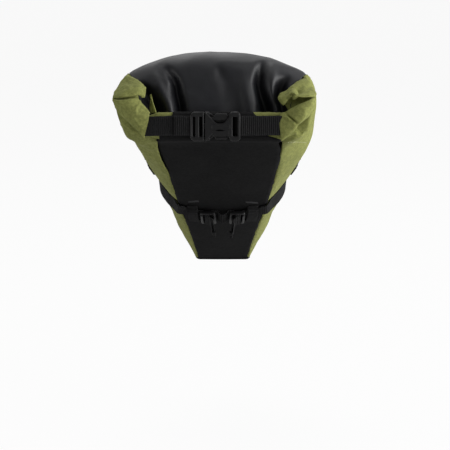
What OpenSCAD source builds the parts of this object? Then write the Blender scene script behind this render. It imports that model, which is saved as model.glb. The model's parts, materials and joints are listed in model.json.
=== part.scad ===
// Saddle bag: a wedge-shaped roll-top seat pack that hangs from the saddle rails and the seatpost.
// Millimetres, +Z up, +Y towards the front of the bicycle, +X to the rider's right.
// The origin is the centre of the seatpost strap, on the seatpost's own axis.

/* [Seatpost] */
// Diameter of the seatpost that the strap closes on
post_d = 31.6; // [27.2:0.1:34.9]
// Lean of the seatpost towards the rear, in degrees
post_lean = 17; // [14:0.5:20]
// Width of the seatpost strap, measured along the post
post_strap_w = 25; // [20:1:30]
// Thickness of the seatpost strap
post_strap_t = 2; // [1.4:0.1:2.4]
// Distance from the seatpost to the nose panel, which the grip pad fills
nose_gap = 4; // [3:0.5:6]
// Width of the grip pad
pad_w = 28; // [22:1:30]
// Height of the grip pad's upper edge above the origin, along the post
pad_rise = 44; // [30:1:50]
// Thickness of the bars of the seatpost strap's ring
post_ring_t = 3; // [2.4:0.1:3.6]

/* [Saddle rails] */
// Diameter of the saddle rails
rail_d = 7; // [7:0.1:9]
// Distance between the centres of the two saddle rails
rail_spacing = 44; // [40:1:50]
// Height of the saddle rails above the origin
rail_rise = 126; // [124:1:136]
// Distance of the rail straps behind the origin
rail_back = 84; // [76:1:90]

/* [Bag outline] */
// Drop of the nose's lower edge below the origin
nose_drop = 29; // [24:1:36]
// Depth of the nose's flat bottom, front to back
nose_depth = 22; // [18:1:30]
// Height of the front face's upper edge above the origin
front_rise = 92; // [86:1:98]
// Height of the top panel's edges where the rail straps cross them
shelf_rise = 112; // [106:1:114]
// Distance of the arched ridge behind the origin
ridge_back = 178; // [165:1:185]
// Height of the ridge's two ends above the origin
ridge_rise = 149; // [140:1:156]
// Height of the ridge's middle above its ends
ridge_crown = 20; // [12:1:24]
// Distance of the mouth's lower edge behind the origin
mouth_back = 206; // [200:1:230]
// Height of the mouth's lower edge above the origin
mouth_rise = 100; // [94:1:106]
// Height of the mouth between its two lips
mouth_h = 17; // [15:1:20]

/* [Bag widths] */
// Width of the base panel at the nose
base_w_front = 46; // [40:1:56]
// Width of the base panel at the mouth
base_w_rear = 97; // [86:1:110]
// Width of the front face
nose_w = 36; // [32:1:44]
// Width of the ridge
ridge_w = 146; // [130:1:154]
// Width across the two wings that flank the closure
wing_w = 160; // [150:1:170]
// Width of the mouth's upper lip
mouth_w = 124; // [112:1:136]
// How far the side panels bulge out
side_bulge = 25; // [16:1:28]
// How far the base panel bulges out
base_bulge = 3; // [1:0.5:5]
// Sideways shift of the closure, to the rider's left
closure_shift = 6; // [0:1:8]

/* [Layers] */
// Thickness of the outer fabric panels
shell_t = 1.6; // [1:0.1:2]
// Thickness of the plastic stiffeners
stiffener_t = 1; // [0.6:0.1:1.4]
// Thickness of the lining
lining_t = 0.8; // [0.5:0.1:1.2]
// Clearance between one layer and the next
layer_gap = 0.3; // [0.2:0.05:0.5]

/* [Roll closure] */
// Length of the rolled mouth, ear to ear
roll_l = 159; // [150:1:168]
// Height of the rolled mouth
roll_h = 23; // [18:1:26]
// Thickness of the rolled mouth
roll_t = 10; // [8:0.5:12]
// Length of the ends that fold back over the roll
roll_end_l = 27; // [20:1:32]
// Height of those folded ends
roll_end_h = 20; // [17:1:22]
// Thickness of the stiffening strip inside the roll
strip_t = 1.6; // [1:0.1:2]
// Height of that strip
strip_h = 12; // [8:1:14]

/* [Webbing and buckles] */
// Width of the webbing
webbing_w = 15; // [12:1:18]
// Thickness of the webbing
webbing_t = 1.4; // [1:0.1:1.6]
// Buckle frame beyond the webbing, on each side
buckle_side = 4.2; // [3.6:0.1:5]
// Thickness of the buckles
buckle_t = 7; // [6:0.5:8.5]
// Length of a buckle's socket
socket_l = 28.8; // [27:0.2:32]
// Length of a plug's frame outside the socket
plug_l = 11.2; // [10:0.2:13]
// Depth of the thumb cut-outs in the socket's sides
thumb_depth = 7; // [6:0.2:7.4]
// Width of a buckle's end bar
end_bar = 2; // [1.6:0.1:2.6]
// Length of the ladder locks along the strap
lock_l = 13; // [12:0.5:16]
// Thickness of the ladder locks
lock_t = 3.4; // [3:0.2:4]
// Length of the free strap tails
tail_l = 11; // [8:1:18]

/* [Strap places] */
// Station of the compression strap, counted from the nose
compression_station = 3.65; // [3.3:0.05:3.8]
// Half the distance between the two ladder locks' centres
lock_reach = 12.5; // [11:0.5:14]
// Height of the light loop's arch
arch = 4; // [3:0.5:6]
// Half the distance between the two strap keepers' centres
keeper_reach = 25.5; // [24:0.5:28]
// Length of a strap keeper
keeper_l = 9; // [7:0.5:10]

/* [Hidden] */
$fn = 48;
// How far a buckle's middle bar reaches into its side rails
bar_bite = 0.01;
post_r = post_d / 2;
rail_r = rail_d / 2;
half_web = webbing_w / 2;
buckle_w = webbing_w + 2 * buckle_side;
// Running clearance of a plug in its socket, and of webbing in a slot
fit_gap = 0.3;
slot_gap = 0.8;
// Height of soft straps above the panels that they lie on
strap_lift = 1;
// Layer offsets, measured inwards from the outside of the fabric
stiffener_in = shell_t + layer_gap;
lining_in = stiffener_in + stiffener_t + layer_gap;
// Place of the rolled mouth: it unrolls about the centre line of its lower round edge
roll_gap = 0.5;
roll_y = -(mouth_back + roll_gap + roll_t / 2);
roll_bottom = mouth_rise - 2;
roll_top = roll_bottom + roll_h;
// Back plane of the buckle and webbing on the roll, and the height of their centre line
closure_y = roll_y - roll_t / 2 - fit_gap;
closure_z = roll_bottom + roll_h / 2 + 1.5;
// Middle of the webbing inside the thickness of a buckle
web_mid = buckle_t / 2;
green = "olivedrab";
coated_black = "dimgray";
matt_black = "darkslategray";
web_black = "gray";
plastic_black = "black";

// ---- Small helpers ----

function mix(a, b, s) = a + (b - a) * s;
function unit(v) = v / norm(v);
function spline(p, q, r, s, f) =
    0.5 * (2 * q + (r - p) * f + (2 * p - 5 * q + 4 * r - s) * f * f + (3 * q - p - 3 * r + s) * f * f * f);
// Matrix that places local x, y, z along three directions, with its origin at point o
function place(x, y, z, o) =
    [[x[0], y[0], z[0], o[0]], [x[1], y[1], z[1], o[1]], [x[2], y[2], z[2], o[2]], [0, 0, 0, 1]];

// ---- The bag's surface ----
// Ten stations run from the nose to the mouth. A station is a straight line in the side view, from a
// point on the base line to a point on the top line, with a half width at each end.

last = 9;
// Share of the way from the nose to the mouth along the base line
base_share = [0, 0.105, 0.221, 0.349, 0.4825, 0.616, 0.75, 0.872, 0.957, 1];
// Share of the way up the front face, for the stations that end on it
front_share = [0, 0.16, 0.37, 0.65, 1];
// Share of the way from the nose's width to the ridge's width, along the top line
top_width_share = [0, 0.04, 0.09, 0.18, 0.36, 0.58, 0.8, 1];
// Shares of the side bulge, the crown, the base bulge and the closure's shift
side_bulge_share = [0.16, 0.36, 0.58, 0.68, 0.82, 0.9, 0.84, 0.64, 0.4, 0.2];
crown_share = [0, 0, 0, 0, 0.02, 0.22, 0.45, 1, 0.45, 0];
base_bulge_share = [0.3, 0.7, 1, 1, 1, 1, 1, 1, 0.7, 0.3];
shift_share = [0, 0, 0, 0, 0, 0, 0, 0.33, 0.7, 1];

// A point on the front face, which keeps nose_gap behind the seatpost
function front_point(z) = [-z * tan(post_lean) - (post_r + nose_gap) / cos(post_lean), z];

nose_front = front_point(-nose_drop);
nose_back = nose_front - [nose_depth, 0];
base_end = [-mouth_back, mouth_rise];
shelf = [-rail_back - 2, shelf_rise];
ridge = [-ridge_back, ridge_rise];
lip = [-mouth_back + 3, mouth_rise + mouth_h];

top_line = [
    for (s = front_share) front_point(mix(-nose_drop, front_rise, s)),
    shelf,
    [mix(shelf[0], ridge[0], 0.54), mix(shelf[1], ridge[1], 0.32)],
    ridge,
    [mix(ridge[0], lip[0], 0.8), mix(ridge[1], lip[1], 0.66)],
    lip,
];
base_line = [for (s = base_share) mix(nose_back, base_end, s) - [0, 1.5 * sin(180 * s)]];

function half_base(i) = mix(base_w_front, base_w_rear, sin(90 * pow(base_share[i], 1.25))) / 2;
function half_top(i) = i == 9 ? mouth_w / 2 : i == 8 ? wing_w / 2 : mix(nose_w, ridge_w, top_width_share[i]) / 2;
function tangent(line, i) = unit(line[min(i + 1, last)] - line[max(i - 1, 0)]);
// Moves station i's end inwards by t, square to its line; at the nose it stays in the flat bottom's plane
function inset(line, i, t, side) =
    let (g = tangent(line, i), n = side * [-g[1], g[0]])
    i == 0 ? line[i] + [t / n[0], 0] : line[i] + t * n;

// The station table for a surface that lies t inside the outside of the fabric
function stations(t) = [
    for (i = [0 : last]) concat(
        inset(base_line, i, t, -1), inset(top_line, i, t, 1),
        [half_base(i) - t, half_top(i) - t, side_bulge * side_bulge_share[i], ridge_crown * crown_share[i],
         base_bulge * base_bulge_share[i], -closure_shift * shift_share[i]])
];
function station(table, v) =
    let (i = min(floor(v), last - 1))
    spline(table[max(i - 1, 0)], table[i], table[i + 1], table[min(i + 2, last)], v - i);

function base_end_of(s) = [s[0], s[1]];
function top_end_of(s) = [s[2], s[3]];
function rise_of(s) = unit(top_end_of(s) - base_end_of(s));
function across(x, p) = [x, p[0], p[1]];

// Points of the three kinds of panel; a runs -1 to 1 across the base and top, and 0 to 1 up a side
function base_point(s, a) =
    across(s[9] + a * s[4], base_end_of(s) - rise_of(s) * s[8] * (1 - a * a));
function top_point(s, a) =
    across(s[9] + a * s[5], top_end_of(s) + rise_of(s) * s[7] * (1 - pow(abs(a), 2.4)));
function side_point(s, a, side) =
    across(s[9] + side * (mix(s[4], s[5], a) + s[6] * 4 * a * (1 - a)), mix(base_end_of(s), top_end_of(s), a));
function surface_point(kind, s, a) =
    kind == "base" ? base_point(s, a) : kind == "top" ? top_point(s, a)
    : side_point(s, a, kind == "right" ? 1 : -1);

outside = stations(0);
lifted = stations(-strap_lift);

// ---- Sheets: a grid of points with a thickness ----

function grid_faces(nu, nv) =
    let (row = nu + 1, layer = row * (nv + 1))
    concat(
        [for (j = [0 : nv - 1], i = [0 : nu - 1])
            let (p = j * row + i)
            each [[p, p + row, p + row + 1], [p, p + row + 1, p + 1],
                  [layer + p, layer + p + 1, layer + p + row + 1],
                  [layer + p, layer + p + row + 1, layer + p + row]]],
        [for (i = [0 : nu - 1]) let (p = i, q = nv * row + i)
            each [[p, p + 1, layer + p + 1], [p, layer + p + 1, layer + p],
                  [q + 1, q, layer + q], [q + 1, layer + q, layer + q + 1]]],
        [for (j = [0 : nv - 1]) let (p = j * row, q = j * row + nu)
            each [[p + row, p, layer + p], [p + row, layer + p, layer + p + row],
                  [q, q + row, layer + q + row], [q, layer + q + row, layer + q]]]);
function reversed(list) = [for (k = [len(list) - 1 : -1 : 0]) list[k]];
function turned(faces) = [for (f = faces) reversed(f)];

module sheet(outer, inner, nu, nv, flip) {
    faces = grid_faces(nu, nv);
    polyhedron(points = concat(outer, inner), faces = flip ? turned(faces) : faces, convexity = 6);
}

// Rings of points per station, and points across each kind of panel: all layers share them, and so nest
rings = 3;
function steps_across(kind) = kind == "top" ? 10 : 8;

// One panel of the bag, between two depths, over part of its stations and part of its width
module panel(kind, t_out, t_in, v = [0, last], a = [-1, 1]) {
    outer = stations(t_out);
    inner = stations(t_in);
    width = kind == "left" || kind == "right" ? 1 : 2;
    nu = round(steps_across(kind) * (a[1] - a[0]) / width);
    nv = round(rings * (v[1] - v[0]));
    function layer_points(table) =
        [for (j = [0 : nv]) let (s = station(table, mix(v[0], v[1], j / nv)))
            for (i = [0 : nu]) surface_point(kind, s, mix(a[0], a[1], i / nu))];
    sheet(layer_points(outer), layer_points(inner), nu, nv, kind == "top" || kind == "left");
}

// A flat strap swept along points on its underside, with a width direction and a normal at each
module ribbon(path, widths, normals, w = webbing_w, t = webbing_t) {
    n = len(path) - 1;
    under = [for (k = [0 : n]) each [path[k] - widths[k] * w / 2, path[k] + widths[k] * w / 2]];
    over = [for (k = [0 : n]) each [under[2 * k] + normals[k] * t, under[2 * k + 1] + normals[k] * t]];
    flip = cross(widths[0], path[1] - path[0]) * normals[0] < 0;
    sheet(over, under, 1, n, flip);
}

// ---- Places on the surface ----

step = 0.02;
function point_at(kind, a, v, table = lifted) = surface_point(kind, station(table, v), a);
function along_a(kind, a, v) = unit(point_at(kind, a + step, v) - point_at(kind, a - step, v));
function along_v(kind, a, v) = unit(point_at(kind, a, v + step) - point_at(kind, a, v - step));
function normal_at(kind, a, v) =
    (kind == "left" || kind == "top" ? -1 : 1) * unit(cross(along_a(kind, a, v), along_v(kind, a, v)));

// ---- Bag shell ----

module side_panel_left() { color(green) panel("left", 0, shell_t, a = [0, 1]); }
module side_panel_right() { color(green) panel("right", 0, shell_t, a = [0, 1]); }
module top_panel() { color(coated_black) panel("top", 0, shell_t, v = [4, last]); }
module nose_panel() { color(matt_black) panel("top", 0, shell_t, v = [0, 4]); }
module base_panel() { color(matt_black) panel("base", 0, shell_t); }

module nose_cap() {
    color(matt_black)
        translate([0, 0, -nose_drop - shell_t])
            linear_extrude(shell_t)
                polygon([
                    for (a = [-1 : 0.25 : 1]) let (p = base_point(outside[0], a)) [p[0], p[1]],
                    for (a = [0.2 : 0.2 : 1]) let (p = side_point(outside[0], a, 1)) [p[0], p[1]],
                    for (a = [0.75 : -0.25 : -1]) let (p = top_point(outside[0], a)) [p[0], p[1]],
                    for (a = [0.8 : -0.2 : 0.2]) let (p = side_point(outside[0], a, -1)) [p[0], p[1]],
                ]);
}

module stiffener(kind, v, a) {
    color("whitesmoke") panel(kind, stiffener_in, stiffener_in + stiffener_t, v, a);
}
module side_stiffener_left() { stiffener("left", [2 / 3, 23 / 3], [1 / 8, 7 / 8]); }
module side_stiffener_right() { stiffener("right", [2 / 3, 23 / 3], [1 / 8, 7 / 8]); }
module nose_stiffener() { stiffener("top", [2 / 3, 11 / 3], [-0.8, 0.8]); }
module base_stiffener() { stiffener("base", [2 / 3, 25 / 3], [-0.75, 0.75]); }

module lining(kind, a) { color("darkorange") panel(kind, lining_in, lining_in + lining_t, a = a); }
module lining_left() { lining("left", [0, 1]); }
module lining_right() { lining("right", [0, 1]); }
module lining_top() { lining("top", [-1, 1]); }
module lining_base() { lining("base", [-1, 1]); }

// ---- Seatpost strap, drawn upright and leant with the post ----

strap_in = post_r;
strap_out = post_r + post_strap_t;
nose_plane = -(post_r + nose_gap);
// The ring's two long bars, and the strap's turn round the front one
ring_x = -(strap_out + fit_gap + post_ring_t / 2);
front_bar_y = -2.5;
rear_bar_y = front_bar_y - 9;
turn_y = front_bar_y - post_ring_t / 2 - fit_gap;
tab_in = -ring_x + post_ring_t / 2 + fit_gap;
// Length of the ring's bars between its ends
ring_inner = post_strap_w + 2 * slot_gap;

module leant() { rotate([post_lean, 0, 0]) children(); }
module slab(x, y, z) {
    translate([x[0], y[0], z[0]]) cube([x[1] - x[0], y[1] - y[0], z[1] - z[0]]);
}
strap_z = [-post_strap_w / 2, post_strap_w / 2];

module half_ring(r_in, r_out, h) {
    difference() {
        cylinder(r = r_out, h = h, center = true);
        cylinder(r = r_in, h = h + 1, center = true);
        translate([-2 * r_out, -4 * r_out, -h]) cube([4 * r_out, 4 * r_out, 2 * h]);
    }
}

module seatpost_strap() {
    color(web_black)
        leant() {
            half_ring(strap_in, strap_out, post_strap_w);
            slab([strap_in, strap_out], [nose_plane + layer_gap, 0], strap_z);
            slab([-strap_out, -strap_in], [turn_y - post_strap_t, 0], strap_z);
            slab([-tab_in, -strap_in], [turn_y - post_strap_t, turn_y], strap_z);
        }
}

module seatpost_strap_loop() {
    web = [rear_bar_y + post_ring_t / 2 + fit_gap, rear_bar_y + post_ring_t / 2 + fit_gap + post_strap_t];
    color(web_black)
        leant() {
            slab([-strap_out, -strap_in], [nose_plane + layer_gap, web[1]], strap_z);
            slab([-tab_in - post_strap_t, -strap_in], web, strap_z);
            slab([-tab_in - post_strap_t, -tab_in], [nose_plane + layer_gap, web[1]], strap_z);
        }
}

module seatpost_ring() {
    color(plastic_black)
        leant() {
            for (y = [front_bar_y, rear_bar_y])
                translate([ring_x, y, 0])
                    cylinder(d = post_ring_t, h = ring_inner + 2 * post_ring_t, center = true, $fn = 24);
            for (z = [-1, 1])
                translate([ring_x, (front_bar_y + rear_bar_y) / 2, z * (ring_inner + post_ring_t) / 2])
                    cube([post_ring_t, front_bar_y - rear_bar_y, post_ring_t], center = true);
        }
}

// The strap's end, folded back round the ring's front bar and pressed on the strap
tab_out = tab_in + post_strap_t;
tab_root_y = turn_y - post_strap_t;

module seatpost_strap_tab() {
    color(web_black)
        leant() {
            slab([-tab_out, -tab_in - fit_gap], [tab_root_y, 0], strap_z);
            intersection() {
                half_ring(tab_in + fit_gap, tab_out, post_strap_w);
                slab([-2 * tab_out, tab_in * 0.35], [0, 2 * tab_out], strap_z);
            }
        }
}

// The pad's lower edge, measured along the post, just above the nose cap
pad_low = (1 - nose_drop - nose_plane * sin(post_lean)) / cos(post_lean);

module seatpost_pad() {
    half_pad = pad_w / 2;
    color("darkgray")
        leant()
            difference() {
                slab([-half_pad, half_pad], [nose_plane + layer_gap, -post_r / 2], [pad_low, pad_rise]);
                translate([0, 0, pad_low - 1]) cylinder(r = post_r, h = pad_rise - pad_low + 2);
            }
}

// ---- Buckle: x runs from the plug to the socket, y across the strap, z up from the back face ----

cavity_t = buckle_t - 3;
cavity_w = webbing_w + 2;
cavity_l = socket_l - end_bar - 6.5;
thumb_half = 9;
thumb_r = (thumb_half * thumb_half + thumb_depth * thumb_depth) / (2 * thumb_depth);
thumb_x = 12.8;
web_slot = webbing_t + slot_gap + 1.6;
inner_z = [web_mid - cavity_t / 2 + fit_gap, web_mid + cavity_t / 2 - fit_gap];
full_z = [0, buckle_t];
rail_bar = 3;
tongue_half = 2.2;
tongue_l = 15;
prong_in = 4.8;
prong_out = 7.4;
prong_root = 0.6;

module socket() {
    half = buckle_w / 2;
    difference() {
        slab([0, socket_l], [-half, half], full_z);
        for (s = [-1, 1])
            translate([thumb_x, s * (half - thumb_depth + thumb_r), -1])
                cylinder(r = thumb_r, h = buckle_t + 2);
        slab([-1, cavity_l], [-cavity_w / 2, cavity_w / 2], [web_mid - cavity_t / 2, web_mid + cavity_t / 2]);
        slab([socket_l - end_bar - web_slot, socket_l - end_bar], [-half_web - fit_gap, half_web + fit_gap],
             [-1, buckle_t + 1]);
    }
}

module plug() {
    half = buckle_w / 2;
    difference() {
        slab([-plug_l, -fit_gap], [-half, half], full_z);
        slab([-plug_l + end_bar, -1.5], [-half + rail_bar, half - rail_bar], [-1, buckle_t + 1]);
    }
    slab([-7.2, -3.8], [-half + rail_bar - bar_bite, half - rail_bar + bar_bite], [1, buckle_t - 1]);
    slab([-0.5, tongue_l], [-tongue_half, tongue_half], inner_z);
}

// One squeeze arm: it turns at its root, and its pad shows in the thumb cut-out
module prong(side) {
    pad = buckle_w / 2 - 1.6;
    translate([0, 0, inner_z[0]])
        linear_extrude(inner_z[1] - inner_z[0])
            polygon([for (p = [[prong_root, prong_in], [18, prong_in], [19, prong_in + 1], [19, prong_out],
                               [18, pad], [9.5, pad], [7.5, prong_out], [prong_root, prong_out]])
                [p[0], side * p[1]]]);
}

// ---- Rail straps ----

rail_mid = 0.87;
rail_slant = 0.8;
rail_station = 4.9;
// Station under the saddle's rails, where the rail loops are sewn to the top panel
loop_station = 5;
function rail_stop(a) = [a, rail_station - (1 - a) * rail_slant];
// Matrix of a rail buckle on one side: x down the strap, z out from the side panel
function rail_frame(kind) =
    let (p = rail_stop(rail_mid), up = rail_stop(rail_mid + 0.1), down = rail_stop(rail_mid - 0.1),
         c = point_at(kind, p[0], p[1]), n = normal_at(kind, p[0], p[1]),
         d = point_at(kind, down[0], down[1]) - point_at(kind, up[0], up[1]),
         x = unit(d - (d * n) * n), y = cross(n, x))
    place(x, y, n, c + n * 1.5 - x * (socket_l - plug_l) / 2);

module at_rail_buckle(kind) { multmatrix(rail_frame(kind)) children(); }
// A point given in a rail buckle's own frame
function from_rail(kind, p) = let (q = rail_frame(kind) * [p[0], p[1], p[2], 1]) [q[0], q[1], q[2]];
function rail_side(kind) = kind == "right" ? 1 : -1;

loop_r = rail_r + 0.1;
loop_out = loop_r + webbing_t;

module rail_loop(kind) {
    x = rail_side(kind) * rail_spacing / 2;
    foot = point_at("top", rail_side(kind) * 0.42, loop_station);
    color(web_black)
        translate([x, -rail_back, 0]) {
            translate([0, half_web, rail_rise])
                rotate([90, 0, 0])
                    difference() {
                        cylinder(r = loop_out, h = webbing_w);
                        translate([0, 0, -1]) cylinder(r = loop_r, h = webbing_w + 2);
                    }
            slab([-webbing_t / 2, webbing_t / 2], [-half_web, half_web], [foot[2] + 3, rail_rise - loop_r - 0.5]);
        }
}

module rail_strap(kind) {
    side = rail_side(kind);
    y_dir = [0, 1, 0];
    start = [side * (rail_spacing / 2 + loop_out + fit_gap), -rail_back, rail_rise - 1];
    frame_y = [for (r = rail_frame(kind)) r[1]];
    web_y = side * [frame_y[0], frame_y[1], frame_y[2]];
    n_plug = normal_at(kind, rail_mid, rail_stop(rail_mid)[1]);
    enter = from_rail(kind, [-plug_l - 5, 0, web_mid - webbing_t / 2]);
    inside = from_rail(kind, [-plug_l - fit_gap, 0, web_mid - webbing_t / 2]);
    over = mix(start, enter, 0.55) + [0, 0, 1.5];
    ribbon([start, over, enter, inside],
           [y_dir, unit(mix(y_dir, web_y, 0.4)), web_y, web_y],
           [unit([side * 0.15, 0, 1]), unit([side * 0.3, 0, 1]), n_plug, n_plug]);
}

module rail_anchor(kind) {
    far = from_rail(kind, [socket_l + 3, 0, web_mid - webbing_t / 2]);
    near = from_rail(kind, [socket_l + fit_gap, 0, web_mid - webbing_t / 2]);
    stops = [for (a = [0.5 : -0.05 : 0.35]) rail_stop(a)];
    n_plug = normal_at(kind, rail_mid, rail_stop(rail_mid)[1]);
    frame_y = [for (r = rail_frame(kind)) r[1]];
    web_y = rail_side(kind) * [frame_y[0], frame_y[1], frame_y[2]];
    ribbon(concat([near, far], [for (s = stops) point_at(kind, s[0], s[1])]),
           concat([web_y, web_y], [for (s = stops) -along_v(kind, s[0], s[1])]),
           concat([n_plug, n_plug], [for (s = stops) normal_at(kind, s[0], s[1])]));
}

module rail_loop_left() { rail_loop("left"); }
module rail_loop_right() { rail_loop("right"); }
module rail_strap_left() { color(web_black) rail_strap("left"); }
module rail_strap_right() { color(web_black) rail_strap("right"); }
module rail_anchor_left() { color(web_black) rail_anchor("left"); }
module rail_anchor_right() { color(web_black) rail_anchor("right"); }
module rail_buckle_socket_left() { color(plastic_black) at_rail_buckle("left") socket(); }
module rail_buckle_socket_right() { color(plastic_black) at_rail_buckle("right") socket(); }
module rail_buckle_plug_left() { color(plastic_black) at_rail_buckle("left") plug(); }
module rail_buckle_plug_right() { color(plastic_black) at_rail_buckle("right") plug(); }
module rail_prong_left_front() { color(plastic_black) at_rail_buckle("left") prong(-1); }
module rail_prong_left_rear() { color(plastic_black) at_rail_buckle("left") prong(1); }
module rail_prong_right_front() { color(plastic_black) at_rail_buckle("right") prong(1); }
module rail_prong_right_rear() { color(plastic_black) at_rail_buckle("right") prong(-1); }

// ---- Compression strap: sewn in the nose seams, round both sides, into two ladder locks ----

strap_station = station(lifted, compression_station);
half_at_strap = strap_station[4];
// Matrix of a place on the base panel, x mm from the centre plane: y up the panel, z outwards
function base_frame(x) =
    let (a = x / half_at_strap, c = point_at("base", a, compression_station),
         z = normal_at("base", a, compression_station), y0 = along_v("base", a, compression_station),
         y = unit(y0 - (y0 * z) * z))
    place(cross(y, z), y, z, c);
module at_base(x) { multmatrix(base_frame(x)) children(); }
function from_base(x, p) = let (q = base_frame(x) * [p[0], p[1], p[2], 1]) [q[0], q[1], q[2]];

// Height of the ladder locks' underside above the strap's underside
lock_lift = webbing_t + fit_gap;
lock_slot = webbing_t + slot_gap + 0.6;
lock_bar = (lock_l - 2 * lock_slot) / 3;
lock_w = webbing_w + 3.6;
// Extra height of the strap where it turns the base panel's seam
corner_lift = 0.5;
// How many stations further up the bag the strap turns that seam, and the rise that this gives
strap_slant = 0.12;
slant_rise = norm(point_at("base", 0, compression_station + strap_slant) - point_at("base", 0, compression_station));
function side_stop(a) = compression_station + strap_slant * (1 - a);

module compression_strap(kind) {
    side = kind == "right" ? 1 : -1;
    v = compression_station;
    slot_x = lock_reach + (lock_bar + lock_slot) / 2;
    // Where the strap stands in the lock's outer slot, and how high it leaves the slot
    stand_x = slot_x - webbing_t / 2;
    over_z = lock_lift + lock_t + fit_gap;
    laid = [[half_at_strap - 3, 0.6 * slant_rise, 0], [keeper_reach + 5, 0, 0],
            [keeper_reach - 4, 0, 0], [slot_x + 2.6, 0, 0]];
    threaded = [[stand_x, 0, 0.3], [stand_x, 0, lock_lift + lock_t / 2],
                [stand_x, 0, over_z], [stand_x - 1, 0, over_z + 0.4]];
    out_x = [side, 0, 0];
    base_normal = normal_at("base", 0, v);
    up_y = along_v("base", 0, v);
    corner_normal = unit(normal_at(kind, 0, side_stop(0)) + base_normal);
    corner = point_at(kind, 0, side_stop(0)) + corner_normal * corner_lift;
    side_a = [0.97, 0.9, 0.8, 0.7, 0.6, 0.5, 0.4, 0.3, 0.2, 0.1];
    color(web_black)
        ribbon(concat([for (a = side_a) point_at(kind, a, side_stop(a))], [corner],
                      [for (s = concat(laid, threaded)) from_base(side * s[0], [0, s[1], s[2]])]),
               concat([for (a = side_a) along_v(kind, a, side_stop(a))],
                      [for (k = [0 : len(laid) + len(threaded)]) up_y]),
               concat([for (a = side_a) normal_at(kind, a, side_stop(a))], [corner_normal],
                      [for (s = laid) base_normal],
                      [unit(base_normal + out_x), out_x, unit(base_normal * 0.5 + out_x), base_normal]));
}

module strap_keeper(side) {
    half = half_web + slot_gap;
    color(web_black)
        at_base(side * keeper_reach)
            difference() {
                slab([-keeper_l / 2, keeper_l / 2], [-half - 1.6, half + 1.6],
                     [-strap_lift + layer_gap, 2 * webbing_t + 2 * fit_gap]);
                slab([-keeper_l, keeper_l], [-half, half], [-strap_lift - 1, webbing_t + 2 * fit_gap]);
            }
}

module ladder_lock(side) {
    color(plastic_black)
        at_base(side * lock_reach)
            translate([0, 0, lock_lift])
                difference() {
                    slab([-lock_l / 2, lock_l / 2], [-lock_w / 2, lock_w / 2], [0, lock_t]);
                    for (s = [-1, 1])
                        translate([s * (lock_bar + lock_slot) / 2, 0, lock_t / 2])
                            cube([lock_slot, webbing_w + 2 * fit_gap, 2 * lock_t], center = true);
                }
}

// Short webbing between the ladder locks, arched out so that a lamp's clip can hang on it
module light_loop() {
    v = compression_station;
    base_normal = normal_at("base", 0, v);
    up_y = along_v("base", 0, v);
    slot_x = lock_reach - (lock_bar + lock_slot) / 2;
    arch_x = lock_reach - lock_l / 2 - 1.5;
    arch_k = [for (k = [-4 : 4]) k / 4];
    // Half of the path below a lock's inner bar: x, z, and the sideways lean of the webbing's normal
    threaded_x = slot_x + webbing_t / 2;
    ends = [[threaded_x, lock_lift + lock_t / 2, 1], [threaded_x, 0.8, 0.9], [slot_x - 0.6, -strap_lift / 2, 0.25]];
    color(web_black)
        ribbon([for (p = [for (e = ends) [-e[0], e[1]],
                          for (k = arch_k) [k * arch_x, arch * (1 - k * k)],
                          for (e = reversed(ends)) [e[0], e[1]]])
                    from_base(0, [p[0], 0, p[1]])],
               [for (k = [1 : 2 * len(ends) + len(arch_k)]) up_y],
               concat([for (e = ends) unit(base_normal * (1 - e[2]) + [e[2], 0, 0])],
                      [for (k = arch_k) unit(base_normal + [arch * k / arch_x, 0, 0])],
                      [for (e = reversed(ends)) unit(base_normal * (1 - e[2]) - [e[2], 0, 0])]));
}

// How far a strap's tail stands out from the base panel, and how far down it turns edge-on
tail_stand = 6;
tail_turn = 6;

// Free tail of a compression strap: it leaves the lock's middle bar, turns and hangs edge-on
module strap_tail(side) {
    start = from_base(side * lock_reach, [0, 0, lock_lift + lock_t + fit_gap]);
    out = normal_at("base", 0, compression_station);
    up_y = along_v("base", 0, compression_station);
    down = [0, 0, -1];
    back = [0, -1, 0];
    color(web_black)
        ribbon([start + [side * 0.4, 0, 0], start + out * 1.5 - [side * 2, 0, 0],
                start + out * (tail_stand - 1) + down * tail_turn - [side * 3.5, 0, 0],
                start + out * tail_stand + down * (tail_turn + tail_l / 2) - [side * 4, 0, 0],
                start + out * tail_stand + down * (tail_turn + tail_l) - [side * 4, 0, 0]],
               [up_y, unit(up_y - back * 0.3), unit(mix(up_y, -back, 0.8)), -back, -back],
               [out, unit(out - [side * 0.5, 0, 0]), [-side, 0, 0], [-side, 0, 0], [-side, 0, 0]]);
}

module compression_strap_left() { compression_strap("left"); }
module compression_strap_right() { compression_strap("right"); }
module strap_keeper_left() { strap_keeper(-1); }
module strap_keeper_right() { strap_keeper(1); }
module ladder_lock_left() { ladder_lock(-1); }
module ladder_lock_right() { ladder_lock(1); }
module strap_tail_left() { strap_tail(-1); }
module strap_tail_right() { strap_tail(1); }

// ---- Roll closure ----

roll_x = [-closure_shift + 1.5 - roll_l / 2, -closure_shift + 1.5 + roll_l / 2];

// A flat-sided bar along X with rounded upper and lower edges
module round_bar(x, y, z, t) {
    translate([x[0], y, 0])
        rotate([90, 0, 90])
            linear_extrude(x[1] - x[0]) {
                for (h = [z[0] + t / 2, z[1] - t / 2]) translate([0, h]) circle(d = t);
                translate([-t / 2, z[0] + t / 2]) square([t, z[1] - z[0] - t]);
            }
}

module roll_core() {
    color(green)
        difference() {
            round_bar(roll_x, roll_y, [roll_bottom, roll_top], roll_t);
            slab([roll_x[0] + 6, roll_x[1] - 6], [roll_y - strip_t / 2 - fit_gap, roll_y + strip_t / 2 + fit_gap],
                 [roll_bottom + (roll_h - strip_h) / 2 - fit_gap, roll_bottom + (roll_h + strip_h) / 2 + fit_gap]);
        }
}

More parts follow.
